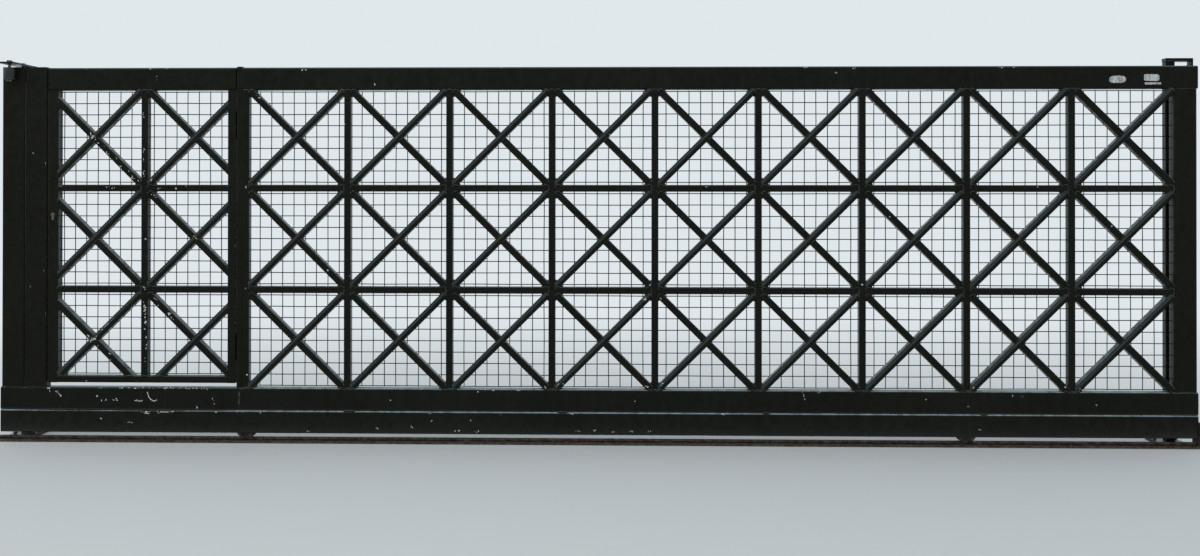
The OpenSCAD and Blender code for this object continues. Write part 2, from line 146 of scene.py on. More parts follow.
def wires(fixed, start, end, step, level, y, seed):
    """Round wires of a welded mesh: circles of radius WIRE carried along straight lines that stray by
    half a millimetre, A * sin(w * t + phase). Level wires run along X at the heights of fixed, the
    others along Z at its places; step is the length between two rings."""
    rng = np.random.default_rng(seed)
    t = np.linspace(start, end, max(2, int(round((end - start) / step)) + 1))
    fixed = np.asarray(fixed, float)[:, None]
    t, fixed = np.broadcast_arrays(t[None, :], fixed)
    stray = 0.0005 * np.sin(t * 9 + rng.uniform(0, 6.3, (len(fixed), 1)))
    stray = fixed + (stray + 0.0003 * np.sin(t * 23 + fixed * 40))
    depth = y + 0.0004 * np.sin(t * 14 + fixed * 11)
    paths = np.stack([t, depth, stray] if level else [stray, depth, t], -1)
    return carry(paths, WIRE, sides=6)


def piece(name, rings, material, body, smooth=True):
    """A mesh from batches of rings, each batch (pieces, stations, sides, 3), closed round every ring
    and closed at both ends by a pole in the middle of the last ring."""
    verts, quads, tris, base = [], [], [], 0
    for batch in rings:
        batch = np.asarray(batch, float)
        count, stations, around = batch.shape[:3]
        index = base + np.arange(count * stations * around).reshape(count, stations, around)
        after = np.roll(index, -1, axis=2)
        quads.append(np.stack([index[:, :-1], after[:, :-1], after[:, 1:], index[:, 1:]], -1).reshape(-1, 4))
        verts.append(batch.reshape(-1, 3))
        base += index.size
        for end, first in ((0, 1), (-1, 0)):
            pole = np.broadcast_to(base + np.arange(count)[:, None], (count, around))
            pair = (index[:, end], after[:, end])
            tris.append(np.stack([pole, pair[first], pair[1 - first]], -1).reshape(-1, 3))
            verts.append(batch[:, end].mean(1))
            base += count
    verts, quads, tris = np.concatenate(verts), np.concatenate(quads), np.concatenate(tris)
    mesh = bpy.data.meshes.new(name)
    mesh.vertices.add(len(verts))
    mesh.vertices.foreach_set("co", verts.astype(np.float32).ravel())
    loops = np.concatenate([quads.ravel(), tris.ravel()]).astype(np.int32)
    starts = np.concatenate([np.arange(len(quads)) * 4, len(quads) * 4 + np.arange(len(tris)) * 3])
    starts = starts.astype(np.int32)
    mesh.loops.add(len(loops))
    mesh.loops.foreach_set("vertex_index", loops)
    mesh.polygons.add(len(starts))
    mesh.polygons.foreach_set("loop_start", starts)
    mesh.polygons.foreach_set("use_smooth", np.full(len(starts), smooth))
    mesh.update(calc_edges=True)
    mesh.validate()
    obj = bpy.data.objects.new(name, mesh)
    bpy.context.scene.collection.objects.link(obj)
    mesh.materials.append(material)
    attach(obj, body)
    return obj


def flakes(rows, along, across, origin, half, r, seed):
    """Thin ragged flakes on the front of a tube.

    A row gives both ends of a flake and its half width in millimetres, in the tube's own
    coordinates s (along) and o (across). The outline round the segment from A to B is
    (A or B) + w * (1 + sum of sines of the angle) * (cos a, sin a), and every point is laid on the
    tube's front, which turns away by r - sqrt(r^2 - e^2) where it is e beyond the flat.
    """
    rng = np.random.default_rng(seed)
    rows = np.asarray(rows, float) / MM
    points = 12
    a = np.arange(points) * 2 * np.pi / points
    ends = np.where(np.cos(a)[None, :, None] > 0, rows[:, None, 2:4], rows[:, None, 0:2])
    lie = rows[:, 2:4] - rows[:, 0:2]
    turn_by = np.arctan2(lie[:, 1], lie[:, 0])[:, None]
    waves = sum(rng.uniform(-1, 1, (len(rows), 1)) * np.sin(n * a + rng.uniform(0, 6.3, (len(rows), 1)))
                for n in (2, 3, 4, 5)) * 0.24
    reach = rows[:, 4:5] * np.clip(1 + waves, 0.35, 1.6)
    flat = ends + reach[..., None] * np.stack([np.cos(a + turn_by), np.sin(a + turn_by)], -1)
    middle = flat.mean(1, keepdims=True)
    layers = []
    for share, height in ((1.0, -0.0002), (0.93, 0.00012)):
        at = middle + (flat - middle) * share
        beyond = np.clip(np.abs(at[..., 1]) - (half - r), 0, 0.96 * r)
        depth = FRONT + r - np.sqrt(r * r - beyond ** 2) - height
        x = origin[0] + at[..., 0] * along[0] + at[..., 1] * across[0]
        z = origin[1] + at[..., 0] * along[1] + at[..., 1] * across[1]
        layers.append(np.stack([x, depth, z], -1))
    return np.stack(layers, 1)


def strewn(rows, seed):
    """Rows broken up into small flakes: each row gives one flake for every 5 mm of its length and
    two more, at even shares of the row, off its line by a normal spread of 0.5 w, of half width
    w * (0.12 to 0.62) and of any lie."""
    rng = np.random.default_rng(seed)
    rows = np.asarray(rows, float)
    count = (2 + np.hypot(rows[:, 2] - rows[:, 0], rows[:, 3] - rows[:, 1]) / 5).astype(int)
    r = rows[np.repeat(np.arange(len(rows)), count)]
    n = len(r)
    w = r[:, 4:5]
    at = r[:, :2] + (r[:, 2:4] - r[:, :2]) * rng.uniform(-0.05, 1.05, (n, 1)) + rng.normal(0, 0.5, (n, 2)) * w
    size = w * rng.uniform(0.12, 0.62, (n, 1))
    a = rng.uniform(0, np.pi, (n, 1))
    reach = np.hstack([np.cos(a), np.sin(a)]) * size * rng.uniform(0, 1.3, (n, 1))
    return np.hstack([at - reach, at + reach, size])


def on_level(rows, z0, z1, r, seed, whole=False):
    """Flakes on a level tube; rows are x, z, x, z, half width in mm from the first upright's axis.
    Whole ones aren't broken up."""
    rows = np.array(rows, float) if whole else strewn(rows, seed)
    rows[:, [1, 3]] -= (z0 + z1) / 2 * MM
    return flakes(rows, (1, 0), (0, 1), (X0, (z0 + z1) / 2), (z1 - z0) / 2, r, seed)


def on_upright(rows, x0, x1, r, seed):
    """Flakes on an upright tube; rows are x, z, x, z, half width in mm from the first upright's axis."""
    rows = strewn(rows, seed)
    rows[:, [0, 2]] -= ((x0 + x1) / 2 - X0) * MM
    return flakes(rows[:, [1, 0, 3, 2, 4]], (0, 1), (1, 0), ((x0 + x1) / 2, 0), (x1 - x0) / 2, r, seed)


def on_diagonal(rows, node, line, rise, seed):
    """Flakes on the diagonal that starts at a lattice node and goes right, up for rise 1 and down
    for -1; rows are s, o, s, o, half width in mm along and across it."""
    d = (BAY / LEAN, rise * ROW / LEAN)
    return flakes(strewn(rows, seed), d, (-d[1], d[0]), (node, line), HALF, BAR_R, seed)


# Helpers for shader nodes
def add(tree, kind, *inputs, **settings):
    """A node with its settings, whose inputs take sockets or plain values in order."""
    n = tree.nodes.new(kind)
    for key, value in settings.items():
        setattr(n, key, value)
    for i, value in enumerate(inputs):
        if value is None:
            continue
        if isinstance(value, bpy.types.NodeSocket):
            tree.links.new(value, n.inputs[i])
        else:
            n.inputs[i].default_value = value
    return n


def calc(tree, op, *values):
    """A number worked out by one Math node."""
    return add(tree, "ShaderNodeMath", *values, operation=op).outputs[0]


def vec(tree, op, *values):
    """A vector, or for DISTANCE a number, worked out by one Vector Math node."""
    n = add(tree, "ShaderNodeVectorMath", *values, operation=op)
    return n.outputs["Value" if op == "DISTANCE" else "Vector"]


def ramp(tree, value, low, high, a=0.0, b=1.0):
    """value mapped smoothly from low..high to a..b, held at the ends."""
    return add(tree, "ShaderNodeMapRange", value, low, high, a, b, interpolation_type="SMOOTHSTEP").outputs[0]


def away_from(tree, value, at):
    """Distance of a number from another one."""
    return calc(tree, "ABSOLUTE", calc(tree, "SUBTRACT", value, at))


def noise(tree, vector, scale, detail=3.0, rough=0.5, output="Fac"):
    """Fractal noise between 0 and 1, or in colour."""
    n = tree.nodes.new("ShaderNodeTexNoise")
    tree.links.new(vector, n.inputs["Vector"])
    n.inputs["Scale"].default_value = scale
    n.inputs["Detail"].default_value = detail
    n.inputs["Roughness"].default_value = rough
    return n.outputs[output]


def blend(tree, share, a, b):
    """Colour a turned into colour b by share."""
    n = tree.nodes.new("ShaderNodeMix")
    n.data_type = "RGBA"
    for i, value in ((0, share), (6, a), (7, b)):
        if isinstance(value, bpy.types.NodeSocket):
            tree.links.new(value, n.inputs[i])
        else:
            n.inputs[i].default_value = (*value, 1.0) if i else value
    return n.outputs[2]


def split(tree, vector):
    """The three numbers of a vector."""
    n = add(tree, "ShaderNodeSeparateXYZ", vector)
    return n.outputs[0], n.outputs[1], n.outputs[2]


def group(name, inputs, outputs):
    """A node group with named sockets; returns its tree, its inputs and its outputs."""
    tree = bpy.data.node_groups.new(name, "ShaderNodeTree")
    for label, kind, value in inputs:
        s = tree.interface.new_socket(label, in_out="INPUT", socket_type=kind)
        if value is not None:
            s.default_value = value
    for label, kind in outputs:
        tree.interface.new_socket(label, in_out="OUTPUT", socket_type=kind)
    return tree, tree.nodes.new("NodeGroupInput").outputs, tree.nodes.new("NodeGroupOutput").inputs


def use(tree, name, **inputs):
    """A node group placed in a tree, its inputs set by name; returns its output sockets."""
    n = tree.nodes.new("ShaderNodeGroup")
    n.node_tree = bpy.data.node_groups[name]
    for key, value in inputs.items():
        s = n.inputs[key.replace("_", " ")]
        if isinstance(value, bpy.types.NodeSocket):
            tree.links.new(value, s)
        else:
            s.default_value = value
    return n.outputs


NUMBER, VECTOR, COLOUR = "NodeSocketFloat", "NodeSocketVector", "NodeSocketColor"


def make_lattice_field():
    """Distances on the lattice to the edge of the nearest diagonal and of the nearest straight bar,
    and the band of painted highlight on the rising diagonals. Along the gate and upwards the lattice repeats
    every bay and row, and a diagonal's axis is where their sum or difference is whole."""
    tree, inputs, outputs = group("lattice_field", [("Vector", VECTOR, None)],
                                  [("Brace edge", NUMBER), ("Bar edge", NUMBER), ("Painted sheen", NUMBER)])
    x, _, z = split(tree, inputs[0])
    bays = calc(tree, "DIVIDE", calc(tree, "SUBTRACT", x, X0), BAY)
    rows = calc(tree, "DIVIDE", calc(tree, "SUBTRACT", z, Z0), ROW)

    def off(value):
        """Distance of a number from the nearest whole one."""
        return away_from(tree, value, calc(tree, "ROUND", value))

    reach = BAY * ROW / LEAN                    # from one diagonal to the next, at right angles to them
    lean = calc(tree, "MINIMUM", off(calc(tree, "ADD", bays, rows)), off(calc(tree, "SUBTRACT", bays, rows)))
    brace = away_from(tree, calc(tree, "MULTIPLY", lean, reach), HALF)
    bar = calc(tree, "MINIMUM", away_from(tree, calc(tree, "MULTIPLY", off(bays), BAY), HALF),
               away_from(tree, calc(tree, "MULTIPLY", off(rows), ROW), HALF))
    # painted highlight: the rising diagonals are lightened along a soft band on the upper half of their
    # width, where light from the upper left catches their rounded corner
    above = calc(tree, "SUBTRACT", rows, bays)
    above = calc(tree, "MULTIPLY", calc(tree, "SUBTRACT", above, calc(tree, "ROUND", above)), reach)
    painted_sheen = ramp(tree, away_from(tree, above, BAR / 5), BAR / 4, BAR / 20, 0.0, 0.085)
    for n, value in enumerate((brace, bar, painted_sheen)):
        tree.links.new(value, outputs[n])


# Colours of the coat, of the dust and painted sky sheen on it and of what shows under it
COAT, COAT_WARM, COAT_WASHED = (0.0104, 0.0098, 0.0062), (0.0138, 0.0130, 0.0088), (0.022, 0.022, 0.018)
DUST_AND_SHEEN = (0.42, 0.53, 0.57)
PRIMER_GREY, PRIMER_PALE = (0.34, 0.35, 0.33), (0.62, 0.62, 0.58)
RUST_RED, RUST_BROWN = (0.11, 0.045, 0.02), (0.05, 0.026, 0.016)
SHEEN_TINT = (0.80, 0.95, 0.94, 1)              # colour of the coat's reflections seen head on


def make_paint():
    """Old satin paint: a dark coat with slow changes of tone, dust and a painted bluish sky sheen on
    faces that look up, drips, chips down to pale primer with a rusty rim, and worn edges. Edge is the
    distance to the nearest edge, Chips the share of places with a chip, the last input a band of painted
    highlight."""
    tree, inputs, outputs = group("old_paint", [
        ("Vector", VECTOR, None), ("Edge", NUMBER, 1.0), ("Chips", NUMBER, 0.15), ("Wear", NUMBER, 0.3),
        ("DustAndSheen", NUMBER, 0.3), ("Rust", NUMBER, 0.0), ("Painted sheen", NUMBER, 0.0)],
        [("Color", COLOUR), ("Roughness", NUMBER), ("Height", NUMBER)])
    pos, edge, chips, wear, dust_and_sheen, rust, painted_sheen = inputs[:7]
    up = split(tree, tree.nodes.new("ShaderNodeNewGeometry").outputs["Normal"])[2]
    slow = noise(tree, pos, 3.0, 4)
    mid = noise(tree, pos, 28.0, 4)
    fine = noise(tree, pos, 420.0, 2)
    drip = noise(tree, vec(tree, "MULTIPLY", pos, (1.0, 1.0, 0.06)), 60.0, 3)
    tone = calc(tree, "ADD", calc(tree, "MULTIPLY", slow, 0.6), calc(tree, "MULTIPLY", mid, 0.4))
    coat = blend(tree, ramp(tree, tone, 0.3, 0.7), COAT, COAT_WARM)
    coat = blend(tree, calc(tree, "MULTIPLY", ramp(tree, drip, 0.55, 0.8), 0.35), coat, COAT_WASHED)
    # dust and a painted sky sheen lie on faces that look up; the band of painted highlight joins them
    dust_and_sheen_share = calc(tree, "MULTIPLY", dust_and_sheen, ramp(tree, mid, 0.3, 0.65, 0.45, 1.0))
    dust_and_sheen_share = calc(tree, "MAXIMUM", calc(tree, "MULTIPLY", ramp(tree, up, 0.15, 0.95), dust_and_sheen_share), painted_sheen)
    dusty_and_sheened = blend(tree, dust_and_sheen_share, coat, DUST_AND_SHEEN)
    # worn edges
    grit = noise(tree, pos, 95.0, 5, 0.7)
    rim = ramp(tree, edge, 0.0040, 0.0005)
    rubbed = calc(tree, "MULTIPLY", calc(tree, "MULTIPLY", wear, rim), 0.5)
    rubbed = calc(tree, "MULTIPLY", ramp(tree, calc(tree, "ADD", grit, rubbed), 0.74, 0.78), rim)
    # chips: a few cells of a cell pattern, each with its own radius, with ragged outlines
    jolt = vec(tree, "SUBTRACT", noise(tree, pos, 300.0, 2, output="Color"), (0.5, 0.5, 0.5))
    jolt = vec(tree, "MULTIPLY", jolt, (0.006, 0.006, 0.006))
    cells = tree.nodes.new("ShaderNodeTexVoronoi")
    tree.links.new(vec(tree, "ADD", pos, jolt), cells.inputs["Vector"])
    cells.inputs["Scale"].default_value = 42.0
    pick, size, kind = split(tree, cells.outputs["Color"])
    chosen = calc(tree, "LESS_THAN", pick, chips)
    radius = calc(tree, "ADD", calc(tree, "MULTIPLY", calc(tree, "POWER", size, 3.0), 0.16), 0.03)
    outside = calc(tree, "SUBTRACT", cells.outputs["Distance"], radius)
    bare = calc(tree, "MAXIMUM", calc(tree, "MULTIPLY", chosen, ramp(tree, outside, 0.02, -0.02)), rubbed)
    halo = calc(tree, "MULTIPLY", chosen, ramp(tree, outside, 0.07, 0.0))
    primer = blend(tree, ramp(tree, fine, 0.35, 0.65), PRIMER_GREY, PRIMER_PALE)
    oxide = blend(tree, ramp(tree, grit, 0.4, 0.6), RUST_RED, RUST_BROWN)
    with_halo = blend(tree, calc(tree, "MULTIPLY", halo, 0.35), dusty_and_sheened, oxide)
    under = blend(tree, ramp(tree, calc(tree, "ADD", kind, rust), 0.8, 0.95), primer, oxide)
    colour = blend(tree, bare, with_halo, under)
    # rust breaks through where it is asked for
    blotch = ramp(tree, calc(tree, "ADD", grit, calc(tree, "MULTIPLY", rust, 0.4)), 0.72, 0.82)
    blotch = calc(tree, "MULTIPLY", blotch, ramp(tree, rust, 0.0, 0.15))
    colour = blend(tree, blotch, colour, oxide)
    rough = calc(tree, "ADD", ramp(tree, mid, 0.25, 0.75, 0.24, 0.36), calc(tree, "MULTIPLY", dust_and_sheen_share, 0.5))
    rough = calc(tree, "ADD", rough, calc(tree, "MULTIPLY", calc(tree, "MAXIMUM", bare, blotch), 0.35))
    height = calc(tree, "ADD", calc(tree, "MULTIPLY", noise(tree, pos, 210.0, 2), 0.10),
                  calc(tree, "MULTIPLY", bare, -0.8))
    height = calc(tree, "ADD", height, calc(tree, "MULTIPLY", blotch, calc(tree, "MULTIPLY", fine, 0.8)))
    for n, value in enumerate((colour, rough, height)):
        tree.links.new(value, outputs[n])


make_lattice_field()
make_paint()


made = {}                                       # the scene's own materials; the frame has like-named ones


def finish_material(name, colour, rough, height=None, metallic=0.0, specular=0.30, distance=0.0004):
    """A material whose shader takes colour, roughness and bump height from its node tree."""
    mat = made[name]
    tree = mat.node_tree
    shader = tree.nodes["Principled BSDF"]
    for label, value in (("Base Color", colour), ("Roughness", rough), ("Metallic", metallic)):
        if isinstance(value, bpy.types.NodeSocket):
            tree.links.new(value, shader.inputs[label])
        else:
            shader.inputs[label].default_value = value
    shader.inputs["Specular IOR Level"].default_value = specular
    if height is not None:
        bump = tree.nodes.new("ShaderNodeBump")
        bump.inputs["Distance"].default_value = distance
        bump.inputs["Strength"].default_value = 1.0
        tree.links.new(height, bump.inputs["Height"])
        tree.links.new(bump.outputs[0], shader.inputs["Normal"])
    return mat


def start_material(name):
    """A new material with its node tree and the object coordinates."""
    mat = made[name] = bpy.data.materials.new("worn_" + name)
    mat.use_nodes = True
    tree = mat.node_tree
    return tree, tree.nodes.new("ShaderNodeTexCoord").outputs["Object"]


def nearest(tree, value, places):
    """Distance of a coordinate to the nearest of some places."""
    near = None
    for at in places:
        d = away_from(tree, value, at)
        near = d if near is None else calc(tree, "MINIMUM", near, d)
    return near


def sides(nodes, axis):
    """The coordinates along one axis at which some nodes begin and end."""
    return sorted({round(c[axis], 4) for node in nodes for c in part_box(node)})


def paint(name, edge, chips, wear, dust_and_sheen=0.09, rust=0.0, painted_sheen=False):
    """A painted material; edge is a function of the tree and position that gives the edge distance,
    and the share of dust and painted sky sheen is a number or such a function; the last flag adds the band of
    painted highlight."""
    tree, pos = start_material(name)
    settings = dict(Vector=pos, Edge=edge(tree, pos), Chips=chips, Wear=wear, Rust=rust,
                    DustAndSheen=dust_and_sheen(tree, pos) if callable(dust_and_sheen) else dust_and_sheen)
    if painted_sheen:
        settings["Painted sheen"] = use(tree, "lattice_field", Vector=pos)["Painted sheen"]
    colour, rough, height = use(tree, "old_paint", **settings)
    mat = finish_material(name, colour, rough, height, specular=0.50)
    tree.nodes["Principled BSDF"].inputs["Specular Tint"].default_value = SHEEN_TINT
    return mat


def edges(kind, *nodes):
    """Distance to the rim of a face: to the edges of the lattice's braces or bars, or along axis 0 or
    2 to the sides of the nodes. On the sides of a member its front and back planes count too."""
    def distance(tree, pos):
        """The distance at pos, worked out in the tree."""
        place = split(tree, pos)
        if isinstance(kind, str):
            near = use(tree, "lattice_field", Vector=pos)[kind]
        else:
            near = nearest(tree, place[kind], sides(nodes, kind))
        return calc(tree, "MAXIMUM", near, nearest(tree, place[1], sides(nodes, 1)))
    return distance


def ledge_dust_and_sheen(tree, pos):
    """Dust and a painted sky highlight, strongest along the ledge between the two beams, where the lower
    beam's rounded corner catches the sky, and, right of the door, along the top of the upper one.
    """
    x, _, z = split(tree, pos)
    low = ramp(tree, away_from(tree, z, LEDGE - 0.005), 0.008, 0.003, 0.09, 1.0)
    top = ramp(tree, away_from(tree, z, BEAM_TOP), 0.006, 0.002, 0.0, 0.6)
    top = calc(tree, "MULTIPLY", top, ramp(tree, x, X0 - 0.04, X0 - 0.02, 0.1, 1.0))
    return calc(tree, "MAXIMUM", low, top)


ALONG, UPWARDS = 0, 2                           # axes of edges()
LEVEL_EDGES = edges(UPWARDS, "upper_beam", "lower_beam", "top_rail")
STILE_EDGES = edges(ALONG, "tail_stile", "door_post", "door_jamb", "end_stile")
DOOR_STILE_EDGES = edges(ALONG, "door_lock_stile", "door_hinge_stile")
DOOR_RAIL_EDGES = edges(UPWARDS, "door_top_rail", "door_sill")
BRACE_EDGES, DOOR_BRACE_EDGES = edges("Brace edge", "braces_middle"), edges("Brace edge", "door_braces")
SLANT_DUST_AND_SHEEN = 0.22                               # on the diagonals, whose upper corners catch dust and a painted sky sheen
frame_paint = paint("frame_paint", LEVEL_EDGES, 0.02, 0.22, ledge_dust_and_sheen)
stile_paint = paint("stile_paint", STILE_EDGES, 0.02, 0.16)
lattice_paint = paint("lattice_paint", BRACE_EDGES, 0.02, 0.10, SLANT_DUST_AND_SHEEN, painted_sheen=True)
bar_paint = paint("bar_paint", edges("Bar edge", "uprights"), 0.03, 0.12)
door_bar_paint = paint("door_bar_paint", edges("Bar edge", "door_upright"), 0.06, 0.26)
door_brace_paint = paint("door_brace_paint", DOOR_BRACE_EDGES, 0.05, 0.24, SLANT_DUST_AND_SHEEN, painted_sheen=True)
door_stile_paint = paint("door_stile_paint", DOOR_STILE_EDGES, 0.04, 0.26)
door_rail_paint = paint("door_rail_paint", DOOR_RAIL_EDGES, 0.03, 0.26)
post_paint = paint("post_paint", edges(ALONG, "catch_post", "guide_post"), 0.03, 0.20, rust=0.02)


def make_plain_metal(name, light, dark, metallic, lo, hi, scale=60.0, specular=0.3):
    """Metal with two tones mixed by noise and a roughness from lo to hi that follows them."""
    tree, pos = start_material(name)
    n = noise(tree, pos, scale, 5, 0.6)
    colour = blend(tree, ramp(tree, n, 0.35, 0.65), dark, light)
    rough = ramp(tree, n, 0.3, 0.7, hi, lo)
    return finish_material(name, colour, rough, noise(tree, pos, 500.0, 2), metallic, specular, 0.00015)


wire_paint = make_plain_metal("wire_paint", (0.013, 0.0135, 0.011), (0.022, 0.015, 0.011), 0.0, 0.4, 0.6,
                              scale=90.0, specular=0.2)
bare_steel = make_plain_metal("bare_steel", (0.34, 0.33, 0.31), (0.13, 0.10, 0.08), 0.8, 0.35, 0.6)
track_steel = make_plain_metal("track_steel", (0.105, 0.085, 0.068), (0.040, 0.028, 0.021), 0.2, 0.6, 0.85)
wheel_steel = make_plain_metal("wheel_steel", (0.085, 0.078, 0.070), (0.022, 0.019, 0.016), 0.5, 0.45, 0.7)
roller_nylon = make_plain_metal("roller_nylon", (0.050, 0.050, 0.048), (0.026, 0.026, 0.025), 0.0, 0.45, 0.6,
                                scale=40.0)
filler = make_plain_metal("filler", (0.064, 0.072, 0.070), (0.020, 0.022, 0.019), 0.0, 0.5, 0.7, 70.0)
lock_metal = make_plain_metal("lock_metal", (0.72, 0.70, 0.64), (0.45, 0.42, 0.36), 0.9, 0.25, 0.45, 200.0)


# Pale primer of the chips, worn paper, painted shade of the key slot
def make_primer():
    """Pale primer with fine dirt and rusty specks."""
    tree, pos = start_material("primer")
    dirt, specks = noise(tree, pos, 190.0, 4, 0.6), noise(tree, pos, 480.0, 3, 0.6)
    colour = blend(tree, ramp(tree, dirt, 0.30, 0.60), (0.36, 0.37, 0.35), (0.84, 0.85, 0.82))
    colour = blend(tree, ramp(tree, specks, 0.62, 0.72), colour, (0.09, 0.045, 0.025))
    return finish_material("primer", colour, 0.8, noise(tree, pos, 700.0, 2), specular=0.2, distance=0.0001)


def make_paper():
    """Blank weathered paper: grey streaks, yellowed patches and small scuffs."""
    tree, pos = start_material("paper")
    streak = noise(tree, vec(tree, "MULTIPLY", pos, (1.0, 1.0, 0.25)), 90.0, 4, 0.6)
    patch, scuff = noise(tree, pos, 60.0, 3), noise(tree, pos, 330.0, 3, 0.7)
    colour = blend(tree, ramp(tree, streak, 0.40, 0.75), (0.60, 0.61, 0.60), (0.22, 0.23, 0.22))
    colour = blend(tree, ramp(tree, patch, 0.55, 0.75, 0.0, 0.6), colour, (0.55, 0.50, 0.40))
    colour = blend(tree, ramp(tree, scuff, 0.60, 0.66), colour, (0.035, 0.037, 0.030))
    return finish_material("paper", colour, 0.85, streak, specular=0.2, distance=0.0002)


def make_slot_shade():
    """Near-black painted shade for the hole of the key slot, a little lighter where dust has caught."""
    tree, pos = start_material("slot_shade")
    caught = ramp(tree, noise(tree, pos, 300.0, 3), 0.4, 0.7)
    colour = blend(tree, caught, (0.004, 0.004, 0.004), (0.018, 0.016, 0.013))
    return finish_material("slot_shade", colour, 0.7, specular=0.2)


primer, paper, slot_shade = make_primer(), make_paper(), make_slot_shade()

FINISH = {}
for coat, nodes in ((frame_paint, "lower_beam upper_beam top_rail end_caps wheel_axles"),
                    (stile_paint, "tail_stile door_post door_jamb end_stile"),
                    (lattice_paint, "braces_lower braces_middle braces_upper"),
                    (bar_paint, "uprights cross_rails"),
                    (door_bar_paint, "door_upright door_cross_rails"),
                    (door_brace_paint, "door_braces"),
                    (door_stile_paint, "door_lock_stile door_hinge_stile"),
                    (door_rail_paint, "door_top_rail door_sill"),
                    (post_paint, "catch_post catch_post_base catch_post_tie"),
                    (post_paint, "guide_post guide_post_base guide_bracket"),
                    (bare_steel, "guide_pins leaf_hinges door_hinges"),
                    (wheel_steel, "wheel_left wheel_right"),
                    (roller_nylon, "roller_front roller_back"),
                    (track_steel, "track_sole track_rail track_stops"),
                    (lock_metal, "door_lock")):
    for node in nodes.split():
        FINISH[node] = coat
for node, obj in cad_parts.items():
    obj.data.materials.clear()
    obj.data.materials.append(FINISH.get(node, wire_paint))

# The mesh: round wires, the level ones against the bars and the upright ones behind them
FIRST_WIRE = 0.005                              # height of the lowest level wire above the beam
OFF_BARS = 0.0003                               # gap behind the bars; crossing wires are sunk by twice that
RING_STEP = 0.05
FIRST_END, SECOND_START = SHEET_X - 0.004, SHEET_X - 0.0022   # ends of the level wires where the sheets meet
wire_levels = BEAM_TOP + FIRST_WIRE + LEVEL_PITCH * np.arange(LEVEL_WIRES)
Y_LEVEL, Y_UPRIGHT = BAR_BACK + WIRE + OFF_BARS, BAR_BACK + 3 * WIRE - OFF_BARS


def mesh_piece(name, x0, x1, xs, levels, body, nodes, seed):
    """One sheet of welded mesh with a wire along every place in xs and every level."""
    past = 0.003                                # the upright wires end beyond the last level one
    obj = piece(name, [wires(levels, x0, x1, RING_STEP, True, Y_LEVEL, seed),
                       wires(xs, levels[0] - past, levels[-1] + past, RING_STEP, False, Y_UPRIGHT, seed + 1)],
                wire_paint, body)
    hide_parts(*nodes)


mesh_piece("mesh_first_sheet", X0 - HALF, FIRST_END, X0 + UPRIGHT_PITCH * np.arange(FIRST_WIRES),
           wire_levels, "leaf", ["mesh_%d" % n for n in range(1, 4)], 11)
mesh_piece("mesh_second_sheet", SECOND_START, END_X, SHEET_X + UPRIGHT_PITCH * np.arange(SECOND_WIRES),
           wire_levels, "leaf", ["mesh_%d" % n for n in range(4, 10)], 21)
door_wires = DOOR_X + UPRIGHT_PITCH * (np.arange(DOOR_WIRES) - DOOR_WIRES / 2)
mesh_piece("door_mesh", LOCK_SIDE, HINGE_SIDE, door_wires,
           wire_levels[1:], "door", ["door_mesh_left", "door_mesh_right"], 31)

# Weld beads of the lattice
CUT_UP, CUT_ALONG = HALF * LEAN / BAY, HALF * LEAN / ROW   # half a diagonal's cut on upright and level sides
SHORTEST = 0.004                                # shorter joints have no bead of their own
CLEAR = 0.002                                   # a cut that ends nearer the cell's corner closes it
ASIDE, ONWARD = 0.0021, 0.0048                  # from the tip of a cut to the middle of its corner bead
JOINT_R, CROSSING_R, CORNER_R = 0.0042, 0.0032, 0.0056
JOINT_DEEP, CROSSING_DEEP, CORNER_DEEP = 0.0022, 0.0020, 0.002   # of the beads' middles behind the front
CORNER_SHORT = 0.001                            # the corner beads end before the back


def cell_welds(node, line, x0, x1, z0, z1):
    """Joint lines of the two diagonals of a cell with the sides of its clear opening, as rows of
    x, z, x, z, and the corners that they leave open, as rows of x, z."""
    lines, corners = [], []
    for rise, base in ((1, line), (-1, line + ROW)):
        for x, side in ((x0, 1), (x1, -1)):
            z = base + rise * (x - node) * ROW / BAY
            lo, hi = max(z - CUT_UP, z0), min(z + CUT_UP, z1)
            if hi - lo > SHORTEST:
                lines.append((x, lo, x, hi))
                steep = rise * side
                tip = hi if steep > 0 else lo
                if z0 + CLEAR < tip < z1 - CLEAR:
                    corners.append((x + side * ASIDE, tip + steep * ONWARD))
        for z, side in ((z0, 1), (z1, -1)):
            x = node + rise * (z - base) * BAY / ROW
            lo, hi = max(x - CUT_ALONG, x0), min(x + CUT_ALONG, x1)
            if hi - lo > SHORTEST:
                lines.append((lo, z, hi, z))
                steep = rise * side
                tip = hi if steep > 0 else lo
                if x0 + CLEAR < tip < x1 - CLEAR:
                    corners.append((tip + steep * ONWARD, z + side * ASIDE))
    return lines, corners


def crossing_welds(node, line):
    """Joint lines where one diagonal is cut to let the other through."""
    centre = np.array([node + BAY / 2, line + ROW / 2])
    along, across = np.array([BAY, ROW]) / LEAN, np.array([-ROW, BAY]) / LEAN
    return [(*(centre + side * across * HALF - along * HALF), *(centre + side * across * HALF + along * HALF))
            for side in (-1, 1)]


def at_depth(points, y):
    """Points (x, y, z) from rows of x, z."""
    points = np.asarray(points, float)
    return np.stack([points[:, 0], np.full(len(points), y), points[:, 1]], -1)


def xz(rows, y):
    """End points (x, y, z) of rows of x, z, x, z at depth y."""
    rows = np.asarray(rows, float)
    return at_depth(rows[:, :2], y), at_depth(rows[:, 2:], y)


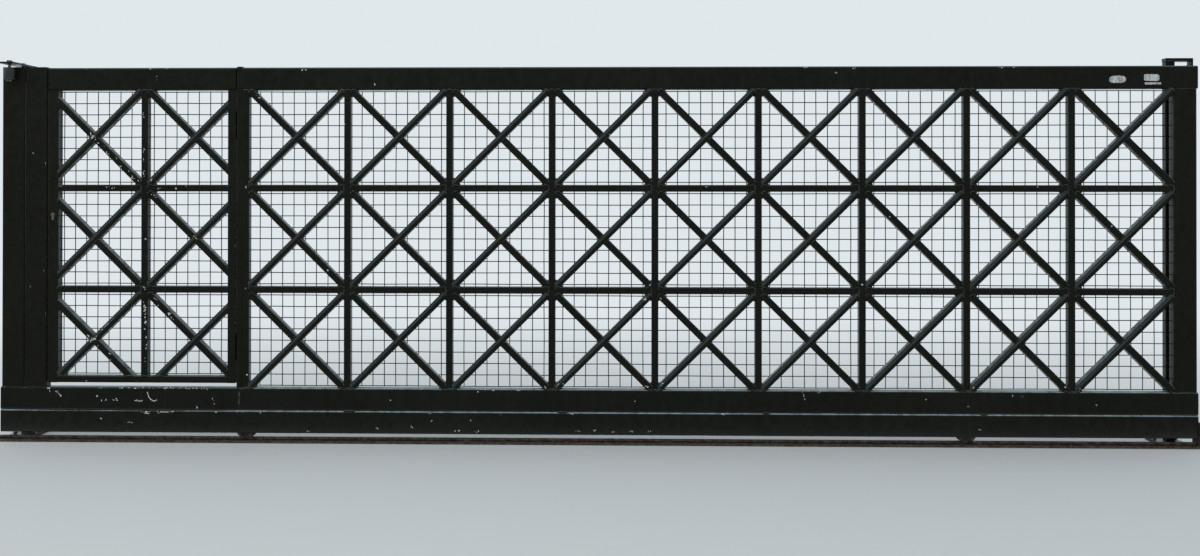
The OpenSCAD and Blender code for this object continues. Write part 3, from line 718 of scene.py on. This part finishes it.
def lattice_welds(name, cells, straights, material, body, seed):
    """Beads on the front along every joint of some cells, and through the depth in their corners."""
    lines, corners, crossings = [], [], []
    for node, line, *clear in cells:
        more, open_corners = cell_welds(node, line, *clear)
        lines += more
        corners += open_corners
        crossings += crossing_welds(node, line)
    joint_ends = xz(lines + straights, FRONT + JOINT_DEEP)
    crossing_ends = xz(crossings, FRONT + CROSSING_DEEP)
    corner_ends = at_depth(corners, FRONT + CORNER_DEEP), at_depth(corners, BAR_BACK - CORNER_SHORT)
    size = dict(stations=5, sides=6)
    return piece(name, [beads(*joint_ends, JOINT_R, seed=seed, **size),
                        beads(*crossing_ends, CROSSING_R, seed=seed + 1, **size),
                        beads(*corner_ends, CORNER_R, UP, seed=seed + 2, **size)], material, body)


leaf_cells = [(node_x(k), line_z(n), node_x(k) + HALF, node_x(k + 1) - HALF,
               line_z(n) + HALF, line_z(n + 1) - HALF) for k in range(BAYS) for n in range(ROWS)]
leaf_straights = [(node_x(k) - HALF, z, node_x(k) + HALF, z) for k in range(BAYS)
                  for z in (BEAM_TOP, RAIL_UNDER)]
leaf_straights += [(x, line_z(n) - HALF, x, line_z(n) + HALF) for k in range(BAYS) for n in range(1, ROWS)
                   for x in (node_x(k) + HALF, node_x(k + 1) - HALF)]
lattice_welds("lattice_welds", leaf_cells, leaf_straights, lattice_paint, "leaf", 41)
door_node = DOOR_X - BAY                        # lattice line beyond the door's lock stile
door_halves = ((door_node, LOCK_SIDE, DOOR_X - HALF), (DOOR_X, DOOR_X + HALF, HINGE_SIDE))
door_cells = [(node, line_z(n), left, right, max(line_z(n) + HALF, SILL_TOP), line_z(n + 1) - HALF)
              for node, left, right in door_halves for n in range(ROWS)]
door_straights = [(DOOR_X - HALF, z, DOOR_X + HALF, z) for z in (SILL_TOP, RAIL_UNDER)]
door_straights += [(x, line_z(n) - HALF, x, line_z(n) + HALF) for n in range(1, ROWS)
                   for x in (LOCK_SIDE, DOOR_X - HALF, DOOR_X + HALF, HINGE_SIDE)]
lattice_welds("door_welds", door_cells, door_straights, door_brace_paint, "door", 51)

# Weld beads of the frame, front and back
STITCHES = [(0.432, 0.489), (1.372, 1.421), (2.266, 2.305), (3.203, 3.241)]   # in the beams' groove, from X0
HIDDEN_STITCH = (-0.9, -0.85)                   # one more at the back
GROOVE_BEAD, FOOT_BEAD = dict(r=0.0062, stations=9, sides=8), dict(r=0.0030, stations=21, sides=6, flat=0.8)
GROOVE_DEEP, FOOT_DEEP = 0.0045, 0.0015
FOOT_IN, SHORT = 0.004, 0.006                   # beads end so far from the corners of stiles and rails
post0, post1 = (c.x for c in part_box("door_post"))
tail0, tail1 = (c.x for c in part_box("tail_stile"))
jamb0, jamb1 = (c.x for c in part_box("door_jamb"))
end1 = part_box("end_stile")[1].x
groove = [(X0 + a, LEDGE, X0 + b, LEDGE) for a, b in STITCHES]
groove_back = [(X0 + a, LEDGE, X0 + b, LEDGE) for a, b in [HIDDEN_STITCH] + STITCHES]
feet = [(a + FOOT_IN, z, b - FOOT_IN, z) for a, b, z in
        ((post0, post1, BEAM_TOP), (tail0, tail1, BEAM_TOP), (jamb0, jamb1, BEAM_TOP),
         (END_X, end1, BEAM_TOP), (END_X, end1, RAIL_UNDER))]
feet += [(jamb1, RAIL_UNDER + SHORT, jamb1, LEAF_TOP - SHORT)]
piece("frame_welds", [beads(*xz(groove, FRONT + GROOVE_DEEP), seed=61, **GROOVE_BEAD),
                      beads(*xz(groove_back, LEAF_BACK - GROOVE_DEEP), seed=62, **GROOVE_BEAD),
                      beads(*xz(feet, FRONT + FOOT_DEEP), seed=63, **FOOT_BEAD),
                      beads(*xz(feet, LEAF_BACK - FOOT_DEEP), seed=64, **FOOT_BEAD)],
      frame_paint, "leaf")

# Flakes where the coat has come off, in millimetres from the ground and the first upright's axis, or on a
# diagonal along and across it from its lattice node: both ends of a flake and its half width
POST_CHIPS = [
    (-949, 1276, -945, 1268, 2), (-960, 686, -958, 676, 1.8), (-898, 754, -896, 744, 1.8),
    (-892, 1234, -892, 1222, 1.6), (-892, 571, -891, 560, 1.8)]
DOOR_UPRIGHT_CHIPS = [
    (-455, 1458, -455, 1431, 3), (-454, 1299, -454, 1277, 3.5), (-454, 1251, -454, 1237, 3),
    (-453, 1193, -453, 1167, 4), (-451, 626, -450, 586, 3), (-443, 551, -443, 499, 5),
    (-449, 600, -444, 560, 4.5), (-440, 464, -439, 411, 3), (-450, 687, -445, 670, 4),
    (-446, 377, -444, 352, 2.5)]
DOOR_LEVEL_CHIPS = [
    (-620, 1122, -611, 1122, 3), (-598, 1120, -585, 1120, 3), (-392, 1119, -378, 1119, 3),
    (-317, 1119, -308, 1119, 3), (-270, 1127, -262, 1128, 2.5), (-827, 1127, -819, 1127, 2.5)]
UPPER_LEFT_CHIPS = [
    (283, 9, 290, 5, 3), (296, -5, 316, -1, 5), (322, 2, 330, -4, 3), (343, -8, 349, -6, 2.5),
    (372, 5, 379, 2, 2.5), (401, -6, 420, -9, 3), (447, 4, 455, 6, 2.5), (478, -7, 494, -5, 3),
    (527, 6, 534, 4, 3), (560, -3, 572, -5, 3.5), (590, 5, 598, 8, 3)]
LOWER_LEFT_CHIPS = [
    (285, -6, 301, -4, 3.5), (302, -3, 326, 4, 6), (318, 4, 327, 6, 3), (346, -5, 352, -4, 2.5),
    (398, 6, 418, 8, 3), (430, -7, 437, -5, 2.5), (590, 5, 601, 4, 3)]
TOP_CHIPS = [
    (251, 1639, 268, 1637, 4), (571, 1574, 578, 1568, 4), (2440, 1647, 2462, 1646, 3),
    (2575, 1624, 2592, 1619, 3.5), (2657, 1641, 2670, 1638, 3), (3287, 1643, 3308, 1643, 3),
    (3346, 1645, 3363, 1644, 2.5), (1122, 1647, 1131, 1646, 2), (1903, 1646, 1911, 1647, 2)]
DOOR_TOP_CHIPS = [(-429, 1646, -408, 1645, 3), (-364, 1647, -342, 1646, 2.5), (-716, 1646, -709, 1646, 2)]
UPPER_BEAM_CHIPS = [
    (-883, 236, -870, 232, 4), (-870, 235, -870, 217, 3), (-841, 221, -814, 195, 4),
    (-640, 181, -618, 181, 4), (-588, 185, -570, 185, 3), (-491, 180, -460, 180, 3.5),
    (-220, 152, -211, 152, 3), (-147, 196, -137, 169, 2.5), (639, 189, 648, 189, 3),
    (770, 236, 783, 236, 3), (1024, 228, 1033, 228, 3), (1051, 235, 1064, 235, 3),
    (1090, 234, 1103, 235, 3), (1196, 234, 1213, 235, 3), (1705, 190, 1714, 190, 2.5),
    (2442, 235, 2451, 202, 2.5), (2507, 233, 2516, 233, 3), (2967, 202, 2975, 202, 3),
    (3149, 175, 3162, 176, 3), (3343, 223, 3352, 219, 3), (3381, 219, 3390, 219, 2.5),
    (3697, 184, 3705, 184, 3), (-560, 237, -512, 236, 3), (-498, 236, -447, 237, 3.5),
    (-430, 237, -402, 236, 3), (-381, 236, -322, 237, 3.5), (-306, 237, -288, 236, 2.5),
    (-270, 236, -214, 237, 3.5), (-198, 236, -166, 236, 3), (-660, 237, -640, 237, 2.5)]
LOWER_BEAM_CHIPS = [
    (-459, 131, -425, 132, 3), (-141, 133, -128, 133, 3), (-40, 133, -6, 133, 2.5), (61, 132, 78, 132, 3),
    (-647, 103, -634, 103, 3), (-520, 85, -502, 84, 3), (570, 66, 588, 66, 3), (270, 50, 283, 50, 3),
    (806, 134, 823, 134, 3), (1425, 134, 1442, 134, 3), (2086, 134, 2099, 134, 3), (732, 75, 750, 66, 3),
    (819, 101, 828, 101, 3), (990, 101, 999, 101, 3), (925, 57, 947, 57, 3), (1013, 53, 1030, 53, 3),
    (1456, 58, 1473, 58, 2.5), (1530, 62, 1548, 62, 3), (1609, 58, 1623, 58, 2.5), (1688, 59, 1710, 59, 3),
    (1771, 59, 1789, 59, 2.5), (3199, 74, 3211, 75, 3)]
# scratches: a hook and a dash on the upper beam, a crooked one on the lower beam
UPPER_SCRATCHES = [
    (-435, 219, -428, 197, 1.5), (-428, 197, -415, 183, 1.7), (-415, 183, -403, 180, 2.2),
    (-403, 180, -392, 185, 1.3), (-491, 181, -466, 179, 1.6), (-832, 214, -822, 203, 1.1)]
LOWER_SCRATCHES = [
    (-389, 134, -383, 127, 1.6), (-377, 132, -340, 131, 1.3), (-451, 128, -428, 124, 1.2),
    (-330, 133, -318, 134, 1.2)]
rail_z = (RAIL_UNDER, LEAF_TOP)
cross_rail_z = (line_z(2) - HALF, line_z(2) + HALF)
on_leaf = [
    on_level(UPPER_SCRATCHES, LEDGE, BEAM_TOP, FRAME_R, 70, whole=True),
    on_level(LOWER_SCRATCHES, LEAF_BOTTOM, LEDGE, FRAME_R, 70, whole=True),
    on_upright(POST_CHIPS, post0, post1, FRAME_R, 71),
    on_level(TOP_CHIPS, *rail_z, FRAME_R, 72),
    on_level(UPPER_BEAM_CHIPS, LEDGE, BEAM_TOP, FRAME_R, 73),
    on_level(LOWER_BEAM_CHIPS, LEAF_BOTTOM, LEDGE, FRAME_R, 74),
    on_upright([(2, 1130, -1, 1120, 3), (4, 690, 2, 676, 2.5)], X0 - HALF, X0 + HALF, BAR_R, 75),
    on_level([(3443, 1127, 3455, 1127, 3), (2020, 1126, 2030, 1125, 2)], *cross_rail_z, BAR_R, 76)]
# rubbed feet and corners of the diagonals at the lattice nodes: column, line, rise, rows
RUBBED = (
    (3, 0, 1, [(38, 5, 52, 6, 3), (60, -6, 66, -5, 2)]), (2, 1, -1, [(590, -4, 603, -6, 3)]),
    (4, 0, 1, [(40, 4, 56, 7, 3)]), (3, 1, -1, [(583, -5, 600, -3, 3.5)]), (3, 2, -1, [(588, 5, 602, 3, 3)]),
    (4, 1, -1, [(36, -7, 50, -5, 3)]), (3, 0, 1, [(571, 6, 588, 4, 3.5)]), (7, 0, 1, [(37, 4, 49, 6, 3)]),
    (7, 1, -1, [(579, 3, 594, 5, 3)]), (8, 0, 1, [(36, -5, 46, -3, 2.5)]), (0, 3, -1, [(60, 4, 88, 8, 3)]))
for seed, (k, n, rise, rows) in enumerate(RUBBED):
    on_leaf.append(on_diagonal(rows, node_x(k), line_z(n), rise, 80 + seed))
piece("leaf_chips", on_leaf, primer, "leaf", smooth=False)
piece("door_chips", [
    on_upright(DOOR_UPRIGHT_CHIPS, DOOR_X - HALF, DOOR_X + HALF, BAR_R, 101),
    on_level(DOOR_LEVEL_CHIPS, *cross_rail_z, BAR_R, 102),
    on_level(DOOR_TOP_CHIPS, *rail_z, FRAME_R, 103),
    on_diagonal(UPPER_LEFT_CHIPS, door_node, line_z(3), -1, 104),
    on_diagonal(LOWER_LEFT_CHIPS, door_node, line_z(1), -1, 105),
    on_diagonal([(58, 5, 74, 7, 3), (92, -6, 101, -4, 2.5), (150, 3, 186, -2, 4.5)],
                DOOR_X, line_z(1), -1, 106),
    on_diagonal([(372, 7, 441, 6, 3), (300, 6, 340, 2, 3)], door_node, line_z(0), 1, 108),
    on_diagonal([(300, 4, 330, 6, 2.5), (40, 5, 64, 7, 3)], DOOR_X, line_z(2), -1, 109),
    on_diagonal([(38, 4, 55, 6, 3)], DOOR_X, line_z(2), 1, 107)],
      primer, "door", smooth=False)


# Two blank paper labels on the top rail, a smaller strip under the second one
def label(x0, x1, z0, z1, lean, seed, power=12):
    """A sheet of paper: a rounded rectangle of the form |u|^n + |v|^n = 1, its rim torn by a sum of
    sines, in layers from a back that is sunk in the rail to a front that is a little curled at the rim."""
    rng = np.random.default_rng(seed)
    points = 40
    a = np.arange(points) * 2 * np.pi / points
    c, d = np.cos(a), np.sin(a)
    r = (np.abs(c) ** power + np.abs(d) ** power) ** (-1 / power)
    r *= 1 + sum(0.012 * np.sin(n * a + rng.uniform(0, 6.3)) for n in (5, 9, 14, 19))
    layers = []
    for share, proud in ((1.0, -0.0002), (1.0, 0.0005), (0.9, 0.0002), (0.5, 0.0002)):
        u, v = share * r * c * (x1 - x0) / 2, share * r * d * (z1 - z0) / 2
        x, z = X0 + (x0 + x1) / 2 + u - v * lean, (z0 + z1) / 2 + v + u * lean
        layers.append(np.stack([x, np.full(points, FRONT - proud), z], -1))
    return np.stack(layers)[None]


piece("labels", [label(3.760, 3.830, 1.575, 1.606, 0.02, 111, 3.2),
                 label(3.908, 3.973, 1.5835, 1.6125, -0.02, 112, 6),
                 label(3.911, 3.981, 1.568, 1.577, 0.01, 113)], paper, "leaf", smooth=False)

# Seams: butt joints of the upper beam and the top rail, filled groove beside the door
seam_beam, seam_rail = X0 - 0.027, X0 + 2.908   # places of the joints in the beam and in the rail


def butt_joint(x, low, high, y, r, seed):
    """A bead straight up a butt joint."""
    return beads(*xz([(x, low, x, high)], y), r, stations=33, seed=seed)


FILLER_R, GROOVE_R, BACK_R, RAIL_R = 0.0056, 0.0058, 0.0038, 0.0037
FILLER_DEEP, GROOVE_FILL_DEEP, BACK_DEEP, RAIL_DEEP = 0.0036, 0.0062, 0.0022, 0.0034
rail_span = (RAIL_UNDER + SHORT, LEAF_TOP - SHORT)
groove_fill = xz([(tail0 + 0.003, LEDGE, seam_beam - 0.004, LEDGE)], FRONT + GROOVE_FILL_DEEP)
beam_low, beam_high, filler_high = LEDGE + SHORT, BEAM_TOP - SHORT, BEAM_TOP - 0.004
piece("seam_filler", [butt_joint(seam_beam, beam_low, filler_high, FRONT + FILLER_DEEP, FILLER_R, 121)],
      filler, "leaf")
piece("seams", [butt_joint(seam_beam, beam_low, beam_high, LEAF_BACK - BACK_DEEP, BACK_R, 122),
                butt_joint(seam_rail, *rail_span, FRONT + RAIL_DEEP, RAIL_R, 123),
                butt_joint(seam_rail, *rail_span, LEAF_BACK - RAIL_DEEP, RAIL_R, 124),
                beads(*groove_fill, GROOVE_R, stations=260, seed=125)], frame_paint, "leaf")

# Lock: a round plug with a key slot in the cylinder, inside and outside; each slot is a thin sheet on the
# plug in painted shade, standing in for the dark hole
lock0, lock1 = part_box("door_lock")
lock_x, key_z = (lock0.x + lock1.x) / 2, lock1.z - (lock1.x - lock0.x) / 2
PLUG = [(-0.001, 0.0066), (0.0006, 0.0066), (0.0009, 0.0062), (0.0009, 0.003)]   # distance outwards, radius
SLOT_WIDE, SLOT_ROUND, SLOT_HALF = 0.0008, 0.0012, 0.0030   # half width, height of an end, half the straight
plugs, slots = [], []
for y, out in ((lock0.y, -1), (lock1.y, 1)):
    centre = (lock_x, y, key_z)
    plugs.append(turn([centre], (0, out, 0), PLUG, 32))
    c, d = circle(20).T
    rim = np.stack([SLOT_WIDE * c, np.zeros(20), SLOT_ROUND * d + SLOT_HALF * np.sign(d)], -1)
    rings = np.stack([np.asarray(centre) + rim + (0, out * proud, 0) for proud in (0.0004, 0.00105)])
    slots.append(rings[None][:, :, ::-out])
piece("lock_plugs", plugs, lock_metal, "door", smooth=False)
piece("key_slots", slots, slot_shade, "door", smooth=False)


# Anchors, nuts and washers
def bolts(centres, axis, across, tall, washer=1.35):
    """Washer, six-sided nut and stud end on each centre: circles and hexagons of the steps
    (distance, radius) along the axis, the nuts each at an angle of its own."""
    ring, corner, stud = across * washer, across * 0.93, 0.005
    top = tall + stud * 0.9
    disc = [(-0.0002, ring * 0.9), (0.0, ring), (0.0018, ring), (0.0021, ring * 0.95)]
    nut = [(0.0018, corner), (0.0026, across), (tall - 0.001, across), (tall, corner), (tall, stud * 1.15)]
    end = [(0.001, stud), (top - 0.001, stud), (top, stud * 0.8)]
    upright = abs(axis[2]) > 0.5
    nuts = [turn([c], axis, nut, 6, (1.0, 0.35 * math.sin(5 * i + 1), 0.0) if upright
                 else (0.0, 0.3 * math.sin(4 * i + 2), 1.0)) for i, c in enumerate(centres)]
    return [turn(centres, axis, disc, 28), np.concatenate(nuts), turn(centres, axis, end, 16)]


FLOOR_NUT, PIN_NUT = (0.0092, 0.009), (0.0105, 0.008)   # radius over the corners, height
PLATE_EDGE = 0.015                              # from an anchor to the edge of the catch post's plate
catch0, catch1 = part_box("catch_post_base")
catch_at = [(x, y, catch1.z) for x in (catch0.x + PLATE_EDGE, catch1.x - PLATE_EDGE)
            for y in (catch1.y - 3 * PLATE_EDGE, catch1.y - PLATE_EDGE)]
GUIDE_IN, GUIDE_HALF = 0.060, 0.045             # the guide post's anchors: middle from the back, half spacing
guide0, guide1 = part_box("guide_post_base")
guide_x, guide_y = (guide0.x + guide1.x) / 2, guide1.y - GUIDE_IN
guide_at = [(guide_x + a * GUIDE_HALF, guide_y + b * GUIDE_HALF, guide1.z) for a in (-1, 1) for b in (-1, 1)]
tie1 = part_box("catch_post_tie")[1]
TIE_PLATE = 0.008                               # thickness of the plate at the end of the tie
plate_x = tie1.x - TIE_PLATE
plate_at = [(plate_x, 0.0, tie1.z - down) for down in (0.065, 0.035)]
pin0, pin1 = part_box("guide_pins")
PIN_R = 0.012
pin_at = [(pin0.x + PIN_R, y, pin1.z) for y in (pin0.y + PIN_R, pin1.y - PIN_R)]
piece("anchors", bolts(catch_at, UP, *FLOOR_NUT) + bolts(guide_at, UP, *FLOOR_NUT)
      + bolts(plate_at, (-1, 0, 0), *FLOOR_NUT, washer=1.25) + bolts(pin_at, UP, *PIN_NUT),
      bare_steel, "ground", smooth=False)

# Weld beads of the posts, the hinges and the track
post, guide_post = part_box("catch_post"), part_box("guide_post")


def level_beads(rows, r, stations, seed):
    """Beads along rows of two end points that lie level."""
    starts, ends = zip(*rows)
    return beads(starts, ends, r, ref=UP, stations=stations, seed=seed)


def round_foot(lo, hi, z, seed):
    """Beads along the four sides of an upright tube at height z, between its rounded corners."""
    left, right, near, far = lo.x + BAR_R, hi.x - BAR_R, lo.y + BAR_R, hi.y - BAR_R
    rows = [((left, lo.y, z), (right, lo.y, z)), ((left, hi.y, z), (right, hi.y, z)),
            ((lo.x, near, z), (lo.x, far, z)), ((hi.x, near, z), (hi.x, far, z))]
    return level_beads(rows, 0.0032, 17, seed)


tie_foot = [((plate_x, -0.011, tie1.z - 0.014), (plate_x, 0.011, tie1.z - 0.014))]
piece("post_welds", [round_foot(*post, catch1.z, 131), round_foot(*post, post[1].z, 132),
                     round_foot(*guide_post, guide1.z, 133), round_foot(*guide_post, guide_post[1].z, 134),
                     level_beads(tie_foot, 0.0035, 17, 135)], post_paint, "ground")
# the plates of the hinges are welded along their upper and lower ends
door_hinge0, door_hinge1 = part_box("door_hinges")
leaf_hinge0, leaf_hinge1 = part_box("leaf_hinges")
barrel = door_hinge0.z - leaf_hinge0.z          # height of one plate
leaf_low, leaf_high = leaf_hinge0.z, door_hinge1.z - 2 * barrel
HINGE_R, HINGE_OUT, HINGE_IN = 0.0028, 0.0006, 0.004
LEAF_PLATE, DOOR_PLATE = 0.016, 0.030           # widths of the plates that are welded on
leaf_ends = [(leaf_hinge1.x - LEAF_PLATE, z, leaf_hinge1.x - HINGE_IN, z)
             for z in (leaf_low, leaf_low + barrel, leaf_high, leaf_high + barrel)]
door_ends = [(door_hinge0.x + HINGE_IN, z, door_hinge0.x + DOOR_PLATE, z)
             for z in (door_hinge0.z, door_hinge0.z + barrel, door_hinge1.z - barrel, door_hinge1.z)]
piece("leaf_hinge_welds", [beads(*xz(leaf_ends, LEAF_BACK + HINGE_OUT), HINGE_R, stations=13, seed=151)],
      stile_paint, "leaf")
piece("door_hinge_welds", [beads(*xz(door_ends, DOOR_BACK + HINGE_OUT), HINGE_R, stations=17, seed=152)],
      door_stile_paint, "door")
rail0, rail1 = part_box("track_rail")
SOLE_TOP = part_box("track_sole")[1].z
TACK_IN, TACK_STEP, TACK_LONG, TACK_SHIFT = 0.2, 0.45, 0.035, 0.11   # tacks of the two sides take turns
TACK_Y, TACK_Z = 0.0052, SOLE_TOP + 0.0008
tacks = np.arange(rail0.x + TACK_IN, rail1.x - TACK_IN, TACK_STEP)
tack_rows = [((x + shift, y, TACK_Z), (x + shift + TACK_LONG, y, TACK_Z))
             for y, shift in ((TRACK_Y - TACK_Y, 0.0), (TRACK_Y + TACK_Y, TACK_SHIFT)) for x in tacks]
stop0, stop1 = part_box("track_stops")
STOP_THICK = 0.010
stop_rows = [((x, stop0.y + SHORT, SOLE_TOP), (x, stop1.y - SHORT, SOLE_TOP))
             for x in (stop0.x, stop0.x + STOP_THICK, stop1.x - STOP_THICK, stop1.x)]
piece("track_welds", [level_beads(tack_rows, 0.0024, 9, 141), level_beads(stop_rows, 0.0040, 25, 142)],
      track_steel, "ground")

# Stage, light and camera
def plain_material(name, colour):
    """A matt colour without gloss."""
    mat = bpy.data.materials.new(name)
    mat.use_nodes = True
    shader = mat.node_tree.nodes["Principled BSDF"]
    shader.inputs["Base Color"].default_value = (*colour, 1)
    shader.inputs["Roughness"].default_value = 0.9
    shader.inputs["Specular IOR Level"].default_value = 0.0
    return mat


def stage_sheet(name, corners, material):
    """A flat sheet of the stage through four corners."""
    mesh = bpy.data.meshes.new(name)
    mesh.from_pydata(corners, [], [(0, 1, 2, 3)])
    mesh.materials.append(material)
    sheet = bpy.data.objects.new(name, mesh)
    bpy.context.scene.collection.objects.link(sheet)
    return sheet


SKY = (0.745, 0.805, 0.840)
FADE_FROM, FADE_TO = 3.6, 8.5                   # the floor turns into the sky between these distances
FADE_SQUEEZE = 0.5                              # distances along the gate count half
FADE_X, FADE_Y = X0 + 1.6, -3.8


def fading_floor():
    """A pale matt floor that turns into the sky's own colour for the camera, well away from the gate."""
    mat = plain_material("floor_paint", (0.66, 0.67, 0.67))
    tree = mat.node_tree
    shader, out = tree.nodes["Principled BSDF"], tree.nodes["Material Output"]
    pos = tree.nodes.new("ShaderNodeTexCoord").outputs["Object"]
    squeezed = vec(tree, "MULTIPLY", pos, (FADE_SQUEEZE, 1, 0))
    away = vec(tree, "DISTANCE", squeezed, (FADE_SQUEEZE * FADE_X, FADE_Y, 0))
    rays = tree.nodes.new("ShaderNodeLightPath").outputs
    seen = calc(tree, "MAXIMUM", rays["Is Camera Ray"], rays["Is Glossy Ray"])
    seen = calc(tree, "MAXIMUM", seen, rays["Is Transmission Ray"])
    glow = add(tree, "ShaderNodeEmission", (*SKY, 1), 1.0)
    mix = add(tree, "ShaderNodeMixShader", calc(tree, "MULTIPLY", seen, ramp(tree, away, FADE_FROM, FADE_TO)))
    tree.links.new(shader.outputs[0], mix.inputs[1])
    tree.links.new(glow.outputs[0], mix.inputs[2])
    tree.links.new(mix.outputs[0], out.inputs["Surface"])
    return mat


floor_corners = [(-90, -60, -0.001), (90, -60, -0.001), (90, 120, -0.001), (-90, 120, -0.001)]
stage_sheet("floor", floor_corners, fading_floor())
# dark cards that stand and lie on the camera's side, which only the gloss of the paint sees
card_paint = plain_material("card_paint", (0.06, 0.06, 0.05))
LEFT, RIGHT, FAR, TALL, LOW, NEAR = -24, 20, -11, 11, 0.003, -0.25   # limits of the cards
for name, corners in (
        ("standing_card", [(LEFT, FAR, 0), (RIGHT, FAR, 0), (RIGHT, FAR, TALL), (LEFT, FAR, TALL)]),
        ("lying_card", [(LEFT, FAR, LOW), (RIGHT, FAR, LOW), (RIGHT, NEAR, LOW), (LEFT, NEAR, LOW)])):
    card = stage_sheet(name, corners, card_paint)
    for ray in ("camera", "diffuse", "shadow", "transmission", "volume_scatter"):
        setattr(card, "visible_" + ray, False)

world = bpy.data.worlds.new("sky")
bpy.context.scene.world = world
world.use_nodes = True
sky = world.node_tree.nodes["Background"]
sky.inputs[0].default_value = (*SKY, 1)
sky.inputs[1].default_value = 1.0

KEY_AT, KEY_TILT = (-5.0, -3.5, 5.5), math.radians(28)
lamp = bpy.data.lights.new("key", "AREA")
lamp.shape, lamp.size, lamp.size_y, lamp.energy = "RECTANGLE", 7.0, 4.0, 70.0
key = bpy.data.objects.new("key", lamp)
key.matrix_world = Matrix.Translation(KEY_AT) @ Matrix.Rotation(KEY_TILT, 4, "X")
key.visible_camera = False
bpy.context.scene.collection.objects.link(key)

# The photo's camera: focal length and row of the lens axis in pixels, place, and turns in degrees
PHOTO_W, PHOTO_H = 1200, 556
FOCAL_PX, AXIS_ROW = 882.0, 191.7
EYE = (-2.4195, -3.920, 1.091)
yaw, pitch, roll = (math.radians(a) for a in (1.123, 0.187, 0.042))
ahead = np.array([-math.sin(yaw) * math.cos(pitch), math.cos(yaw) * math.cos(pitch), math.sin(pitch)])
right = np.array([math.cos(yaw), math.sin(yaw), 0.0])
above = np.cross(right, ahead)
cos_roll, sin_roll = math.cos(roll), math.sin(roll)
right, above = cos_roll * right + sin_roll * above, cos_roll * above - sin_roll * right
lens = bpy.data.cameras.new("camera")
lens.sensor_width = 36.0
lens.lens = FOCAL_PX * lens.sensor_width / PHOTO_W
lens.shift_y = (AXIS_ROW - PHOTO_H / 2) / PHOTO_W
lens.clip_end = 200.0
camera = bpy.data.objects.new("camera", lens)
axes = np.stack([right, above, -ahead, EYE], -1)
camera.matrix_world = Matrix(axes.tolist() + [[0, 0, 0, 1]])
bpy.context.scene.collection.objects.link(camera)
bpy.context.scene.camera = camera
bpy.context.scene.view_settings.view_transform = "Standard"
